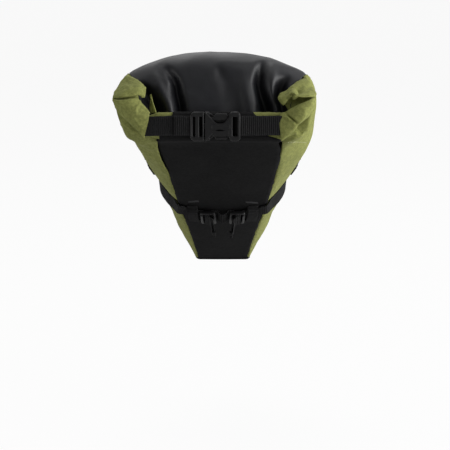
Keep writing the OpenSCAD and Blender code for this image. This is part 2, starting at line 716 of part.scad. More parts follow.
module mouth_stiffener() {
    color("whitesmoke")
        slab([roll_x[0] + 6.5, roll_x[1] - 6.5], [roll_y - strip_t / 2, roll_y + strip_t / 2],
             [roll_bottom + (roll_h - strip_h) / 2, roll_bottom + (roll_h + strip_h) / 2]);
}

module roll_end(side) {
    x = side > 0 ? [roll_x[1] - roll_end_l, roll_x[1]] : [roll_x[0], roll_x[0] + roll_end_l];
    t = buckle_t / 2 + webbing_t;
    mid = closure_z;
    color(green) round_bar(x, closure_y - t / 2, [mid - roll_end_h / 2, mid + roll_end_h / 2], t);
}
module roll_end_left() { roll_end(-1); }
module roll_end_right() { roll_end(1); }

// The buckle's frame on the roll: its socket's mouth is buckle_x from the centre plane
buckle_x = -14.6;
module at_closure() {
    translate([buckle_x, closure_y, closure_z]) rotate([90, 0, 0]) children();
}

module closure_webbing(x) {
    color(web_black)
        slab(x, [closure_y - web_mid - webbing_t / 2, closure_y - web_mid + webbing_t / 2],
             [closure_z - half_web, closure_z + half_web]);
}
module closure_webbing_left() {
    closure_webbing([roll_x[0] + roll_end_l + layer_gap, buckle_x - plug_l - layer_gap]);
}
module closure_webbing_right() {
    closure_webbing([buckle_x + socket_l + layer_gap, roll_x[1] - roll_end_l - layer_gap]);
}
module closure_buckle_socket() { color(plastic_black) at_closure() socket(); }
module closure_buckle_plug() { color(plastic_black) at_closure() plug(); }
module closure_prong_upper() { color(plastic_black) at_closure() prong(1); }
module closure_prong_lower() { color(plastic_black) at_closure() prong(-1); }

side_panel_left();
side_panel_right();
top_panel();
nose_panel();
nose_cap();
base_panel();
side_stiffener_left();
side_stiffener_right();
nose_stiffener();
base_stiffener();
lining_left();
lining_right();
lining_top();
lining_base();
seatpost_pad();
seatpost_strap();
seatpost_strap_loop();
seatpost_ring();
seatpost_strap_tab();
rail_loop_left();
rail_loop_right();
rail_strap_left();
rail_strap_right();
rail_anchor_left();
rail_anchor_right();
rail_buckle_socket_left();
rail_buckle_socket_right();
rail_buckle_plug_left();
rail_buckle_plug_right();
rail_prong_left_front();
rail_prong_left_rear();
rail_prong_right_front();
rail_prong_right_rear();
compression_strap_left();
compression_strap_right();
strap_keeper_left();
strap_keeper_right();
ladder_lock_left();
ladder_lock_right();
light_loop();
strap_tail_left();
strap_tail_right();
roll_core();
mouth_stiffener();
roll_end_left();
roll_end_right();
closure_webbing_left();
closure_webbing_right();
closure_buckle_socket();
closure_buckle_plug();
closure_prong_upper();
closure_prong_lower();
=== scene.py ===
"""Looks of a roll-top saddle bag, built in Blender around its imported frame.

Shapes are written in millimetres, in the frame's own axes, and turned into metres as a mesh is made.
"""

from __future__ import annotations

import json
import logging
import math
from dataclasses import dataclass, field
from enum import Enum
from typing import Callable, Sequence

import bpy
import numpy as np
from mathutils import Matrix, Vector, noise
from mathutils.bvhtree import BVHTree
from mathutils.geometry import tessellate_polygon

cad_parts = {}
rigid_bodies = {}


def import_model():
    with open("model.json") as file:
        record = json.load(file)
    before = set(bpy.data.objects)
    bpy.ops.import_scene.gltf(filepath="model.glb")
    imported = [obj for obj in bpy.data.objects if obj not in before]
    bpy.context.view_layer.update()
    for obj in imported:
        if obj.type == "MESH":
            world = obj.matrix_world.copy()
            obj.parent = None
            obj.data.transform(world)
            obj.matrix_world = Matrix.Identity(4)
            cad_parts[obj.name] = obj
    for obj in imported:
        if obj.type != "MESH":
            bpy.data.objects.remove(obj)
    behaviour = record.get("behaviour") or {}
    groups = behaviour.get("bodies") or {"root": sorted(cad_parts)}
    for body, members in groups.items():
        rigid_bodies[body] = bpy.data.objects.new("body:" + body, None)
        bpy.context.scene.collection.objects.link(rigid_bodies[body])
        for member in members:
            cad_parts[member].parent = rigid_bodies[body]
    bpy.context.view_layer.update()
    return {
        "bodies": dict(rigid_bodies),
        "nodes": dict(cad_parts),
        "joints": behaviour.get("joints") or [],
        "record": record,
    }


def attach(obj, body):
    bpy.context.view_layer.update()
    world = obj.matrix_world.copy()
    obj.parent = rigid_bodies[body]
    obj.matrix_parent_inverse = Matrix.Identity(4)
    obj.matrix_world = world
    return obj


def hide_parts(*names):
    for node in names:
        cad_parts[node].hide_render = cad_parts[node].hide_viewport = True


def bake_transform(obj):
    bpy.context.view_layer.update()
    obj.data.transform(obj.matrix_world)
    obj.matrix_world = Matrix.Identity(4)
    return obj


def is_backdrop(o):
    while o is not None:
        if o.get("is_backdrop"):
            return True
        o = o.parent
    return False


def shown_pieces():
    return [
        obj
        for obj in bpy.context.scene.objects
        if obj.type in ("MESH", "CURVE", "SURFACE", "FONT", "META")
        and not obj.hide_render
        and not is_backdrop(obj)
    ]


LOG = logging.getLogger("saddle_bag")
MM = 0.001
Array = np.ndarray
Colour = tuple[float, float, float]
Flat = tuple[float, float]
Place = tuple[float, float, float]
Rows = tuple[tuple[Place, ...], ...]


class Body(Enum):
    """The bodies that pieces ride on, but for those of the left and right pairs, which are named by side."""

    BAG = "bag"
    ROLL = "roll"
    CLOSURE_PLUG = "closure_plug"
    STRAP_TAB = "strap_tab"


class Slot(Enum):
    """The record's material slots."""

    GREEN = "green_fabric"
    COATED = "coated_fabric"
    BASE = "base_fabric"
    LINING = "lining"
    WEBBING = "webbing"
    PLASTIC = "plastic"
    STIFFENER = "stiffener"
    GRIP = "grip_rubber"


class Panel(Enum):
    """The four kinds of panel of the bag's skin; the value turns a grid's normals outwards."""

    LEFT = -1
    RIGHT = 1
    TOP = -2
    BASE = 2

    @property
    def outward(self) -> int:
        """Sign that makes a grid's normals point out of the bag, and a side panel's own side in x."""
        return 1 if self.value > 0 else -1

    @property
    def word(self) -> str:
        """The panel as names say it."""
        return self.name.lower()


SIDES = (Panel.LEFT, Panel.RIGHT)


# ---- Small maths ----


def unit(v: Array) -> Array:
    """Vectors of length one along v."""
    return v / np.maximum(np.linalg.norm(v, axis=-1, keepdims=True), 1e-9)


def vec(*numbers: float) -> Array:
    """A point or direction from its numbers."""
    return np.array(numbers, float)


def bump_shape(d: Array) -> Array:
    """A smooth hump: 1 where d is 0 and 0 beyond 1."""
    return np.square(np.clip(1 - np.square(d), 0, None))


def ease(x: Array) -> Array:
    """Smooth step from 0 to 1 over x from 0 to 1."""
    t = np.clip(x, 0, 1)
    return t * t * (3 - 2 * t)


def catmull(a: Array, b: Array, c: Array, d: Array, f: float) -> Array:
    """Catmull-Rom point a share f of the way from b to c."""
    return 0.5 * (2 * b + (c - a) * f + (2 * a - 5 * b + 4 * c - d) * f * f + (3 * b - a - 3 * c + d) * f**3)


def smooth_curve(points: Array, steps: int) -> Array:
    """Catmull-Rom curve through rows of points.

    Args:
        points: Array whose first axis runs along the curve.
        steps: Number of new rows per given row.

    Returns:
        The finer rows, the given ones among them.
    """
    p = np.asarray(points, float)
    padded = np.concatenate([2 * p[:1] - p[1:2], p, 2 * p[-1:] - p[-2:-1]])
    rows = [catmull(*padded[k : k + 4], s / steps) for k in range(len(p) - 1) for s in range(steps)]
    return np.array([*rows, p[-1]])


def turned(first: float, final: float, count: int) -> list[Flat]:
    """Directions in a plane, evenly between two angles in degrees."""
    return [(math.cos(a), math.sin(a)) for a in np.radians(np.linspace(first, final, count))]


def sampled(points: Array, size: float, seed: float, value: Callable[[Vector], float]) -> Array:
    """Values of a noise function at places in millimetres, for features of a size and a shift by seed."""
    flat = points.reshape(-1, 3) / size + seed
    return np.array([value(Vector(p)) for p in flat]).reshape(points.shape[:-1])


def cloth_noise(points: Array, size: float, seed: float, octaves: int = 3) -> Array:
    """Soft uneven field, about -1 to 1, with a number of finer layers."""
    return sampled(points, size, seed, lambda p: noise.fractal(p, 0.7, 2.1, octaves))


def creases(points: Array, size: float, seed: float, sharpness: float = 3.0) -> Array:
    """Crumple lines of stiff cloth, 0 to 1: thin ridges, the sharper the thinner, between flatter facets."""
    return np.power(sampled(points, size, seed, lambda p: 1 - min(abs(noise.noise(p)) * 2.2, 1)), sharpness)


def softened(heights: Array, rounds: int) -> Array:
    """A field of heights with rounded edges, each value averaged with its neighbours a number of times."""
    for _ in range(rounds * 2):
        wide = np.pad(heights, ((1, 1), (0, 0)), mode="edge")
        heights = (heights * 0.5 + (wide[:-2] + wide[2:]) * 0.25).T
    return heights


# ---- Meshes ----


def into_scene(name: str, data: bpy.types.ID) -> bpy.types.Object:
    """Makes an object of a mesh, a camera or a lamp, in the scene."""
    made = bpy.data.objects.new(name, data)
    bpy.context.scene.collection.objects.link(made)
    return made


@dataclass
class MeshParts:
    """Vertices in millimetres, faces, and where each vertex lies on the flat cloth, also in millimetres."""

    points: list[Array] = field(default_factory=list)
    lay: list[Array] = field(default_factory=list)
    faces: list[tuple[int, ...]] = field(default_factory=list)
    count: int = 0

    def add(self, points: Array, lay: Array, faces: Sequence[Sequence[int]]) -> None:
        """Adds a part.

        Args:
            points: Its vertices.
            lay: Where they lie on the flat cloth.
            faces: Its faces, which count from its own first vertex.
        """
        self.points.append(points.reshape(-1, 3))
        self.lay.append(lay.reshape(-1, 3))
        self.faces.extend(tuple(i + self.count for i in f) for f in faces)
        self.count += len(self.points[-1])

    def make(self, name: str, finish: Finish, *nodes: str,
             body: str | None = Body.BAG.value) -> bpy.types.Object:
        """Makes the piece, smooth shaded, with its `lay` attribute in metres.

        Args:
            name: Name of the object and its mesh.
            finish: Its finish, which knows its slot.
            *nodes: The CAD nodes that it stands for.
            body: The body it rides on; None for a piece that is left unattached.

        Returns:
            The new object.
        """
        mesh = bpy.data.meshes.new(name)
        mesh.from_pydata((np.concatenate(self.points) * MM).tolist(), [], self.faces)
        mesh.validate()
        lay = mesh.attributes.new("lay", "FLOAT_VECTOR", "POINT")
        lay.data.foreach_set("vector", (np.concatenate(self.lay) * MM).astype(np.float32).ravel())
        mesh.polygons.foreach_set("use_smooth", [True] * len(mesh.polygons))
        mesh.materials.append(finish.material())
        piece = into_scene(name, mesh)
        if nodes:
            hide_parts(*nodes)
        if body:
            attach(piece, body)
        return piece


@dataclass
class ClothGrid:
    """A sheet of cloth as a grid of points in millimetres: rows run along it, columns across it."""

    points: Array
    outward: int = 1

    @property
    def share(self) -> Array:
        """Share of the sheet's width at each column, 0 to 1."""
        return np.linspace(0, 1, self.points.shape[1])[None, :]

    def finer(self, along: int, across: int) -> ClothGrid:
        """The same sheet with `along` and `across` steps between the given points."""
        rows = smooth_curve(self.points, along)
        return ClothGrid(smooth_curve(rows.swapaxes(0, 1), across).swapaxes(0, 1), self.outward)

    def normals(self) -> Array:
        """Outward normals at all points."""
        down, over = np.gradient(self.points, axis=(0, 1))
        return self.outward * unit(np.cross(over, down))

    def facing(self, way: Array, row: int, column: int) -> ClothGrid:
        """The sheet, turned over where needed so that its outside looks a way at one of its points."""
        turn = 1 if self.normals()[row, column] @ way > 0 else -1
        return ClothGrid(self.points, self.outward * turn)

    def pushed(self, amount: Array | float) -> ClothGrid:
        """The sheet moved along its normals by an amount in millimetres, one for all or one each."""
        lift = np.broadcast_to(np.asarray(amount, float), self.points.shape[:2])
        return ClothGrid(self.points + self.normals() * lift[..., None], self.outward)

    def trimmed(self, rows: slice, columns: slice) -> ClothGrid:
        """Part of the sheet."""
        return ClothGrid(self.points[rows, columns], self.outward)

    def lay(self) -> Array:
        """Place of each point on the flat cloth: across and along, in millimetres."""
        over = np.linalg.norm(np.diff(self.points, axis=1), axis=2)
        down = np.linalg.norm(np.diff(self.points, axis=0), axis=2).mean(axis=1)
        across = np.pad(np.cumsum(over, axis=1), ((0, 0), (1, 0)))
        across = across - across[:, across.shape[1] // 2][:, None]
        along = np.pad(np.cumsum(down), (1, 0))[:, None] * np.ones_like(across)
        return np.stack([across, along, np.zeros_like(across)], axis=-1)

    def solid(self, inner: float | Array, into: MeshParts | None = None) -> MeshParts:
        """The sheet with a thickness on its inner side and closed edges.

        Args:
            inner: Thickness in millimetres, or the points of its inner side.
            into: Parts to add to; new ones when left out.

        Returns:
            The parts that now hold the sheet.
        """
        parts = into or MeshParts()
        inside = inner if np.ndim(inner) else self.points - self.normals() * inner
        rows, cols = self.points.shape[:2]
        layer = rows * cols
        index = np.arange(layer).reshape(rows, cols)
        quads = [index[:-1, :-1], index[:-1, 1:], index[1:, 1:], index[1:, :-1]]
        top = np.stack(quads, -1).reshape(-1, 4)[:, :: self.outward]
        faces = [*top.tolist(), *(top[:, ::-1] + layer).tolist()]
        rim = [*index[0, :], *index[1:, -1], *index[-1, -2::-1], *index[-2:0:-1, 0]]
        for p, q in zip(rim, [*rim[1:], rim[0]]):
            faces.append([p, p + layer, q + layer, q][:: self.outward])
        parts.add(np.stack([self.points, inside]), np.stack([self.lay()] * 2), faces)
        return parts


@dataclass(frozen=True)
class Plate:
    """A moulded plate: an outline with holes, between two heights, with rounded edges, in its own axes."""

    outline: Sequence[Flat]
    low: float
    high: float
    holes: Sequence[Sequence[Flat]] = ()
    rounding: float = 0.5
    steps: int = 3

    @classmethod
    def box(cls, x: Flat, y: Flat, z: Flat, corner: float = 0.8, rounding: float = 0.5,
            holes: Sequence[Sequence[Flat]] = ()) -> Plate:
        """A plate whose outline is a rounded rectangle, from its lowest and highest x, y and z."""
        return cls(box_outline(x, y, corner), *z, holes, rounding)

    @staticmethod
    def _area(loop: Array) -> float:
        """Signed area of a closed loop."""
        nxt = np.roll(loop, -1, axis=0)
        return float(0.5 * np.sum(loop[:, 0] * nxt[:, 1] - nxt[:, 0] * loop[:, 1]))

    @staticmethod
    def _inset(loop: Array, amount: float) -> Array:
        """The loop moved into its material by an amount; material lies left of a loop."""
        before = unit(loop - np.roll(loop, 1, axis=0))
        after = unit(np.roll(loop, -1, axis=0) - loop)
        n1, n2 = (np.stack([-way[:, 1], way[:, 0]], -1) for way in (before, after))
        middle = unit(n1 + n2)
        stretch = np.clip(np.sum(middle * n1, axis=1), 0.45, 1)
        return loop + middle * (amount / stretch)[:, None]

    def levels(self) -> list[Flat]:
        """Inset and height of each ring of points, from the low face to the high one."""
        r = min(self.rounding, (self.high - self.low) / 2 - 0.01)
        turn = turned(0, 90, self.steps + 1)
        low = [(r - r * s, self.low + r - r * c) for c, s in turn]
        high = [(r - r * c, self.high - r + r * s) for c, s in turn]
        return [(r + 0.08, self.low), *low, *high, (r + 0.08, self.high)]

    def add_to(self, parts: MeshParts, place: Array) -> None:
        """Adds the plate's faces.

        Args:
            parts: Mesh parts to add to.
            place: 4 by 4 matrix that puts the plate's axes in the frame, in millimetres.
        """
        loops = [np.array(loop, float) for loop in (self.outline, *self.holes)]
        loops = [loop if (self._area(loop) > 0) == (k == 0) else loop[::-1] for k, loop in enumerate(loops)]
        points: list[Array] = []
        faces: list[tuple[int, ...]] = []
        rings: list[list[Array]] = []
        start = 0
        for inset, z in self.levels():
            rings.append([])
            for loop in loops:
                points.append(np.column_stack([self._inset(loop, inset), np.full(len(loop), z)]))
                rings[-1].append(np.arange(start, start + len(loop)))
                start += len(loop)
        for lower, upper in zip(rings[:-1], rings[1:]):
            for p, q in zip(lower, upper):
                faces += zip(p, np.roll(p, -1), np.roll(q, -1), q)
        stacked = np.concatenate(points)
        for ring, up in ((rings[0], False), (rings[-1], True)):
            order = np.concatenate(ring)
            for tri in tessellate_polygon([[Vector(stacked[i]) for i in loop] for loop in ring]):
                corners = [int(order[i]) for i in tri]
                ccw = self._area(stacked[corners]) > 0
                faces.append(tuple(corners if ccw == up else corners[::-1]))
        placed = (np.column_stack([stacked, np.ones(len(stacked))]) @ place.T)[:, :3]
        parts.add(placed, stacked, faces)


def box_outline(x: Flat, y: Flat, corner: float = 0.8, steps: int = 3) -> list[Flat]:
    """Rectangle with rounded corners, anticlockwise.

    Args:
        x: Lowest and highest x.
        y: Lowest and highest y.
        corner: Corner radius.
        steps: Number of steps in each corner.

    Returns:
        The outline's points.
    """
    r = min(corner, (x[1] - x[0]) / 2 - 0.01, (y[1] - y[0]) / 2 - 0.01)
    left, right, low, high = x[0] + r, x[1] - r, y[0] + r, y[1] - r
    centres = ((right, low, -90), (right, high, 0), (left, high, 90), (left, low, 180))
    return [(cx + r * c, cy + r * s) for cx, cy, a in centres for c, s in turned(a, a + 90, steps + 1)]


def axes(x: Array, y: Array, z: Array, origin: Array) -> Array:
    """4 by 4 matrix that places local x, y and z along three directions at an origin."""
    m = np.eye(4)
    m[:3, 0], m[:3, 1], m[:3, 2], m[:3, 3] = x, y, z, origin
    return m


def upright(origin: Array) -> Array:
    """Axes of a thing seen from behind the bag: x to the right, y up and z towards the viewer."""
    return axes(vec(1, 0, 0), vec(0, 0, 1), vec(0, -1, 0), origin)


def tube_faces(rings: int, sides: int, flip: bool = False) -> list[tuple[int, ...]]:
    """Faces of a tube with closed ends.

    Args:
        rings: Number of rings of points.
        sides: Number of points in a ring.
        flip: Whether the faces are turned over.

    Returns:
        The faces, as rows of vertex numbers.
    """
    faces = []
    for i in range(0, (rings - 1) * sides, sides):
        for j in range(sides):
            k = (j + 1) % sides
            faces.append((i + j, i + k, i + sides + k, i + sides + j))
    faces += [tuple(range(sides))[::-1], tuple(range((rings - 1) * sides, rings * sides))]
    return [face[::-1] for face in faces] if flip else faces


@dataclass
class Ribbon:
    """A flat strap along a path on its underside: width directions and outward normals at each point."""

    path: Array
    widths: Array
    outs: Array
    width: float = 15.0
    thickness: float = 1.4
    second: Flat = (14.8, 1.3)

    def __post_init__(self) -> None:
        """Takes lists, and one direction for the whole strap."""
        self.path = np.array(self.path, float)
        self.widths = np.broadcast_to(np.array(self.widths, float), self.path.shape)
        self.outs = np.broadcast_to(np.array(self.outs, float), self.path.shape)

    @classmethod
    def through(cls, stops: Sequence[Sequence[Array]], *sizes: float) -> Ribbon:
        """The strap through stops that each hold a place, a width direction and an outward one."""
        return cls(*zip(*stops), *sizes)

    def finer(self, steps: int) -> Ribbon:
        """The same strap with more points along it."""
        return Ribbon(smooth_curve(self.path, steps), unit(smooth_curve(self.widths, steps)),
                      unit(smooth_curve(self.outs, steps)), self.width, self.thickness)

    def doubled(self, rows: slice, lift: float) -> Ribbon:
        """A folded-back second layer that lies on part of the strap."""
        path, outs = self.path[rows], self.outs[rows]
        return Ribbon(path + outs * lift, self.widths[rows], outs, *self.second)

    def section(self) -> list[Flat]:
        """Cross-section with rounded edges: across and up."""
        w, t = self.width / 2, self.thickness
        r = t / 2
        arc = [(r * c, r * s) for c, s in turned(-90, 90, 5)]
        right = [(w - r + x, r + y) for x, y in arc]
        left = [(-w + r - x, r + y) for x, y in reversed(arc)]
        across = [w * k for k in (0.8, 0.4, 0, -0.4, -0.8)]
        return [*right, *[(x, t) for x in across], *left, *[(-x, 0) for x in across]]

    def solid(self, wave: float = 0.0, seed: float = 0.0, into: MeshParts | None = None) -> MeshParts:
        """The strap's faces.

        Args:
            wave: Height in millimetres of a slight unevenness along the strap.
            seed: Shift of that unevenness.
            into: Parts to add to; new ones when left out.

        Returns:
            The parts that now hold the strap.
        """
        parts = into or MeshParts()
        section = np.array(self.section())
        n, m = len(self.path), len(section)
        base = self.path + self.outs * (wave * cloth_noise(self.path, 14, seed))[:, None]
        points = (base[:, None] + self.widths[:, None] * section[None, :, :1]
                  + self.outs[:, None] * section[None, :, 1:])
        along = np.pad(np.cumsum(np.linalg.norm(np.diff(self.path, axis=0), axis=1)), (1, 0))
        lay = [np.broadcast_to(values, (n, m)) for values in (section[:, 0], along[:, None], section[:, 1])]
        hand = float(np.dot(np.cross(self.widths[0], self.outs[0]), self.path[1] - self.path[0]))
        parts.add(points, np.stack(lay, -1), tube_faces(n, m, hand <= 0))
        return parts


@dataclass(frozen=True)
class Thread:
    """Sewing thread: how long, thick and far apart its stitches are, in millimetres."""

    stitch: float = 2.2
    gap: float = 0.8
    radius: float = 0.22
    sides: int = 6
    swells: tuple[float, ...] = (0.35, 0.9, 1.0, 0.9, 0.35)
    lifts: tuple[float, ...] = (-0.6, 0.25, 0.45, 0.25, -0.6)

    def row(self, parts: MeshParts, line: Array, out: Array) -> None:
        """Sews a row of stitches along a line.

        Args:
            parts: Mesh parts to add to.
            line: Points of the line on the cloth.
            out: Outward normal at each point, or one for all.
        """
        out = np.broadcast_to(out, line.shape)
        run = np.pad(np.cumsum(np.linalg.norm(np.diff(line, axis=0), axis=1)), (1, 0))
        count = max(int(run[-1] / (self.stitch + self.gap)), 1)
        swell, lift = (np.array(shares)[:, None] * self.radius for shares in (self.swells, self.lifts))
        ring = np.array(turned(0, 360, self.sides + 1)[:-1])[None]
        for k in range(count):
            start = (k + 0.5) * run[-1] / count - self.stitch / 2
            at = np.linspace(start, start + self.stitch, len(swell))
            mid, up = (np.stack([np.interp(at, run, way) for way in rows.T], -1) for rows in (line, out))
            up = unit(up)
            side = unit(np.cross(up, unit(np.gradient(mid, axis=0))))
            round_it = side[:, None] * ring[..., :1] + up[:, None] * ring[..., 1:]
            shape = (mid + up * lift)[:, None] + swell[..., None] * round_it
            parts.add(shape, np.zeros_like(shape), tube_faces(len(swell), self.sides))


# ---- Shader maths ----


@dataclass(frozen=True)
class Wave:
    """A value that varies over a surface: a socket that can be used in Python expressions."""

    socket: bpy.types.NodeSocket

    @property
    def sheet(self) -> Nodes:
        """The node tree it belongs to."""
        return Nodes(self.socket.id_data)

    def _math(self, kind: str, *others: Wave | float, swap: bool = False) -> Wave:
        """Result of a Math node of this kind on this value and others, with this one last where swapped."""
        inputs = [*others, self] if swap else [self, *others]
        return self.sheet.add("ShaderNodeMath", {"operation": kind}, dict(enumerate(inputs)))

    def __add__(self, other: Wave | float) -> Wave:
        """Sum."""
        return self._math("ADD", other)

    __radd__ = __add__

    def __mul__(self, other: Wave | float) -> Wave:
        """Product."""
        return self._math("MULTIPLY", other)

    __rmul__ = __mul__

    def __sub__(self, other: Wave | float) -> Wave:
        """Difference."""
        return self._math("SUBTRACT", other)

    def __rsub__(self, other: float) -> Wave:
        """Difference, with this value taken away."""
        return self._math("SUBTRACT", other, swap=True)

    def sine(self) -> Wave:
        """Sine of the value in radians."""
        return self._math("SINE")

    def size(self) -> Wave:
        """Value without its sign."""
        return self._math("ABSOLUTE")

    def larger(self, other: Wave | float) -> Wave:
        """The larger of two values."""
        return self._math("MAXIMUM", other)

    def between(self, low: float, high: float) -> Wave:
        """Smooth step: 0 at low and below, 1 at high and above."""
        return self.sheet.add("ShaderNodeMapRange", {"interpolation_type": "SMOOTHSTEP"},
                              {"Value": self, "From Min": low, "From Max": high})


@dataclass(frozen=True)
class Nodes:
    """A node tree and the ways to add to it."""

    tree: bpy.types.NodeTree

    def fill(self, node: bpy.types.Node, inputs: dict[str | int, object]) -> None:
        """Gives a node's sockets their values or links.

        Args:
            node: The node.
            inputs: Values or links, by the socket's name or number.
        """
        for name, value in inputs.items():
            if isinstance(value, Wave):
                self.tree.links.new(value.socket, node.inputs[name])
            else:
                node.inputs[name].default_value = value

    def add(self, kind: str, settings: dict[str, object] | None = None,
            inputs: dict[str | int, object] | None = None, output: str | int = 0) -> Wave:
        """Adds any node.

        Args:
            kind: The node's type.
            settings: Its settings, set first.
            inputs: Values or links of its sockets, by name or number.
            output: Name or number of the output wanted.

        Returns:
            That output.
        """
        node = self.tree.nodes.new(kind)
        for name, value in (settings or {}).items():
            setattr(node, name, value)
        self.fill(node, inputs or {})
        return Wave(node.outputs[output])

    def noise(self, scale: float, detail: float = 2.0, distortion: float = 0.0,
              place: Wave | None = None) -> Wave:
        """Uneven field from 0 to 1, with a scale of features per metre, read on the object or at a place."""
        place = place or self.add("ShaderNodeTexCoord", output="Object")
        return self.add("ShaderNodeTexNoise", {}, {"Vector": place, "Scale": scale, "Detail": detail,
                                                   "Distortion": distortion})

    def colours(self, share: Wave, first: Colour | Wave, second: Colour) -> Wave:
        """Mix of two colours: the first where share is 0, the second where it is 1."""
        start = first if isinstance(first, Wave) else (*first, 1)
        return self.add("ShaderNodeMix", {"data_type": "RGBA"}, {0: share, 6: start, 7: (*second, 1)}, 2)

    def split(self, both: Wave) -> list[Wave]:
        """The x, y and z of a vector."""
        node = self.add("ShaderNodeSeparateXYZ", {}, {"Vector": both}).socket.node
        return [Wave(output) for output in node.outputs]

    def lay(self) -> tuple[Wave, Wave, Wave]:
        """Where the surface lies on its flat cloth, in metres: across and along it, and both together."""
        both = self.add("ShaderNodeAttribute", {"attribute_name": "lay"}, output="Vector")
        across, along, _ = self.split(both)
        return across, along, both

    def background_share(self, behind: Wave | float) -> Wave:
        """Share of the plain background that a ray sees.

        Args:
            behind: Share for a ray off a gloss or through glass, 0 to 1; the camera sees all of it.

        Returns:
            The share, 0 to 1.
        """
        seen = self.add("ShaderNodeLightPath", output="Is Camera Ray")
        rays = seen.socket.node.outputs
        return seen.larger(Wave(rays["Is Glossy Ray"]).larger(Wave(rays["Is Transmission Ray"])) * behind)


# ---- Finishes ----


@dataclass(frozen=True)
class Finish:
    """A finish: its slot in the record, colours, gloss and relief, made into a material once."""

    name: str
    slot: Slot
    colour: Colour
    roughness: float = 0.7
    specular: float = 0.3
    sheen: float = 0.0

    def relief(self, nodes: Nodes) -> tuple[Wave, float]:
        """Height field of the surface and how far it stands, in metres."""
        return nodes.noise(900.0, 3.0), 0.0002

    def colouring(self, nodes: Nodes) -> Wave:
        """Colour over the surface."""
        return nodes.colours(nodes.noise(60.0, 4.0).between(0.3, 0.7), *self.shades(0.88, 1.1))

    def shades(self, low: float, high: float) -> list[Colour]:
        """The finish's colour, darker and lighter."""
        return [tuple(min(c * k, 1.0) for c in self.colour) for k in (low, high)]

    def gloss(self, nodes: Nodes) -> Wave:
        """Roughness over the surface."""
        return nodes.noise(45.0, 3.0) * 0.16 + (self.roughness - 0.08)

    def material(self) -> bpy.types.Material:
        """Builds the material, or gives the one already built."""
        found = bpy.data.materials.get(self.name)
        if found:
            return found
        material = bpy.data.materials.new(self.name)
        material.use_nodes = True
        nodes = Nodes(material.node_tree)
        height, distance = self.relief(nodes)
        normal = nodes.add("ShaderNodeBump", {}, {"Height": height, "Distance": distance, "Strength": 1.0})
        nodes.fill(material.node_tree.nodes["Principled BSDF"], {
            "Base Color": self.colouring(nodes), "Roughness": self.gloss(nodes), "Normal": normal,
            "Specular IOR Level": self.specular, "Sheen Weight": self.sheen, "Sheen Roughness": 0.45})
        return material


@dataclass(frozen=True)
class WovenCloth(Finish):
    """Plain-woven cloth with uneven dye, painted shade in the hollows between its yarns and painted
    highlights on the yarn tops.
    """

    yarn: float = 0.0006
    stand: float = 0.00016
    # How much lighter the fine flecks and the painted highlights on the yarn tops are than the cloth.
    fleck_and_highlight_lift: float = 1.18

    def weave(self, nodes: Nodes) -> Wave:
        """Over-and-under height of the yarns, 0 to 1."""
        across, along, _ = nodes.lay()
        turn = math.pi / self.yarn
        return (across * turn).sine() * (along * turn).sine() * 0.5 + 0.5

    def relief(self, nodes: Nodes) -> tuple[Wave, float]:
        """Yarns, with the cloth's own small unevenness."""
        return self.weave(nodes) * 0.55 + nodes.noise(260.0, 4.0) * 0.9, self.stand

    def colouring(self, nodes: Nodes) -> Wave:
        """Mottled dye, painted highlights on the yarn tops with painted shade between them, and fine flecks.
        """
        patches = nodes.noise(38.0, 5.0, 0.4).between(0.32, 0.7)
        heather = nodes.noise(430.0, 5.0, 0.6).between(0.32, 0.68)
        base = nodes.colours(patches * 0.25 + heather * 0.75, *self.shades(0.72, 1.22))
        flecks = nodes.noise(1100.0, 2.0).between(0.5, 0.78)
        # Weave height in the colour paints highlights on the yarn tops and shade in the hollows between them;
        # the flecks are random.
        yarns = (self.weave(nodes) * 0.35 + flecks * 0.5) * 0.5
        return nodes.colours(yarns, base, tuple(min(c * self.fleck_and_highlight_lift + 0.01, 1) for c in self.colour))


@dataclass(frozen=True)
class CoatedCloth(Finish):
    """Cloth with a smooth rubbery coat: fine pebbling, rubbed patches and faint dust."""

    grain: float = 1500.0

    def relief(self, nodes: Nodes) -> tuple[Wave, float]:
        """Fine pebbling over shallow dents."""
        return nodes.noise(self.grain, 2.0) * 0.25 + nodes.noise(90.0, 3.0), 0.0003

    def colouring(self, nodes: Nodes) -> Wave:
        """Even black with faint dusty patches."""
        dust = nodes.noise(30.0, 6.0, 0.8).between(0.45, 0.85) * 0.5
        specks = nodes.noise(700.0, 2.0).between(0.62, 0.8) * 0.3
        return nodes.colours(dust + specks, *self.shades(0.9, 1.9))

    def gloss(self, nodes: Nodes) -> Wave:
        """Smoother where the coat is rubbed."""
        return nodes.noise(22.0, 4.0).between(0.35, 0.75) * -0.1 + (self.roughness + 0.05)


@dataclass(frozen=True)
class RibbedWebbing(Finish):
    """Woven strap: cross ribs, a plain edge and a slight fuzz."""

    rib: float = 0.0016
    yarn: float = 0.0012
    half_width: float = 0.0075

    def ribs(self, nodes: Nodes) -> Wave:
        """Height of the cross ribs, 0 to 1, broken up along the width."""
        across, along, both = nodes.lay()
        wander = nodes.noise(240.0, 2.0, place=both)
        wave = ((along + wander * 0.0007) * (2 * math.pi / self.rib)).sine() * 0.5 + 0.5
        yarns = (across * (2 * math.pi / self.yarn)).sine() * 0.5 + 0.5
        return wave * (yarns * 0.25 + 0.75)

    def relief(self, nodes: Nodes) -> tuple[Wave, float]:
        """Ribs with fuzz."""
        return self.ribs(nodes) + nodes.noise(1800.0, 2.0) * 0.5, 0.00035

    def colouring(self, nodes: Nodes) -> Wave:
        """Painted highlights on the rib tops and painted shade between them, fuzz worn grey at the edges."""
        across, _, _ = nodes.lay()
        edge = across.size().between(self.half_width * 0.78, self.half_width)
        fuzz = nodes.noise(900.0, 3.0).between(0.45, 0.75)
        # Rib height in the colour paints highlights on the rib tops and shade between them.
        return nodes.colours(self.ribs(nodes) * 0.65 + fuzz * 0.25 + edge * 0.2, *self.shades(0.35, 1.7))


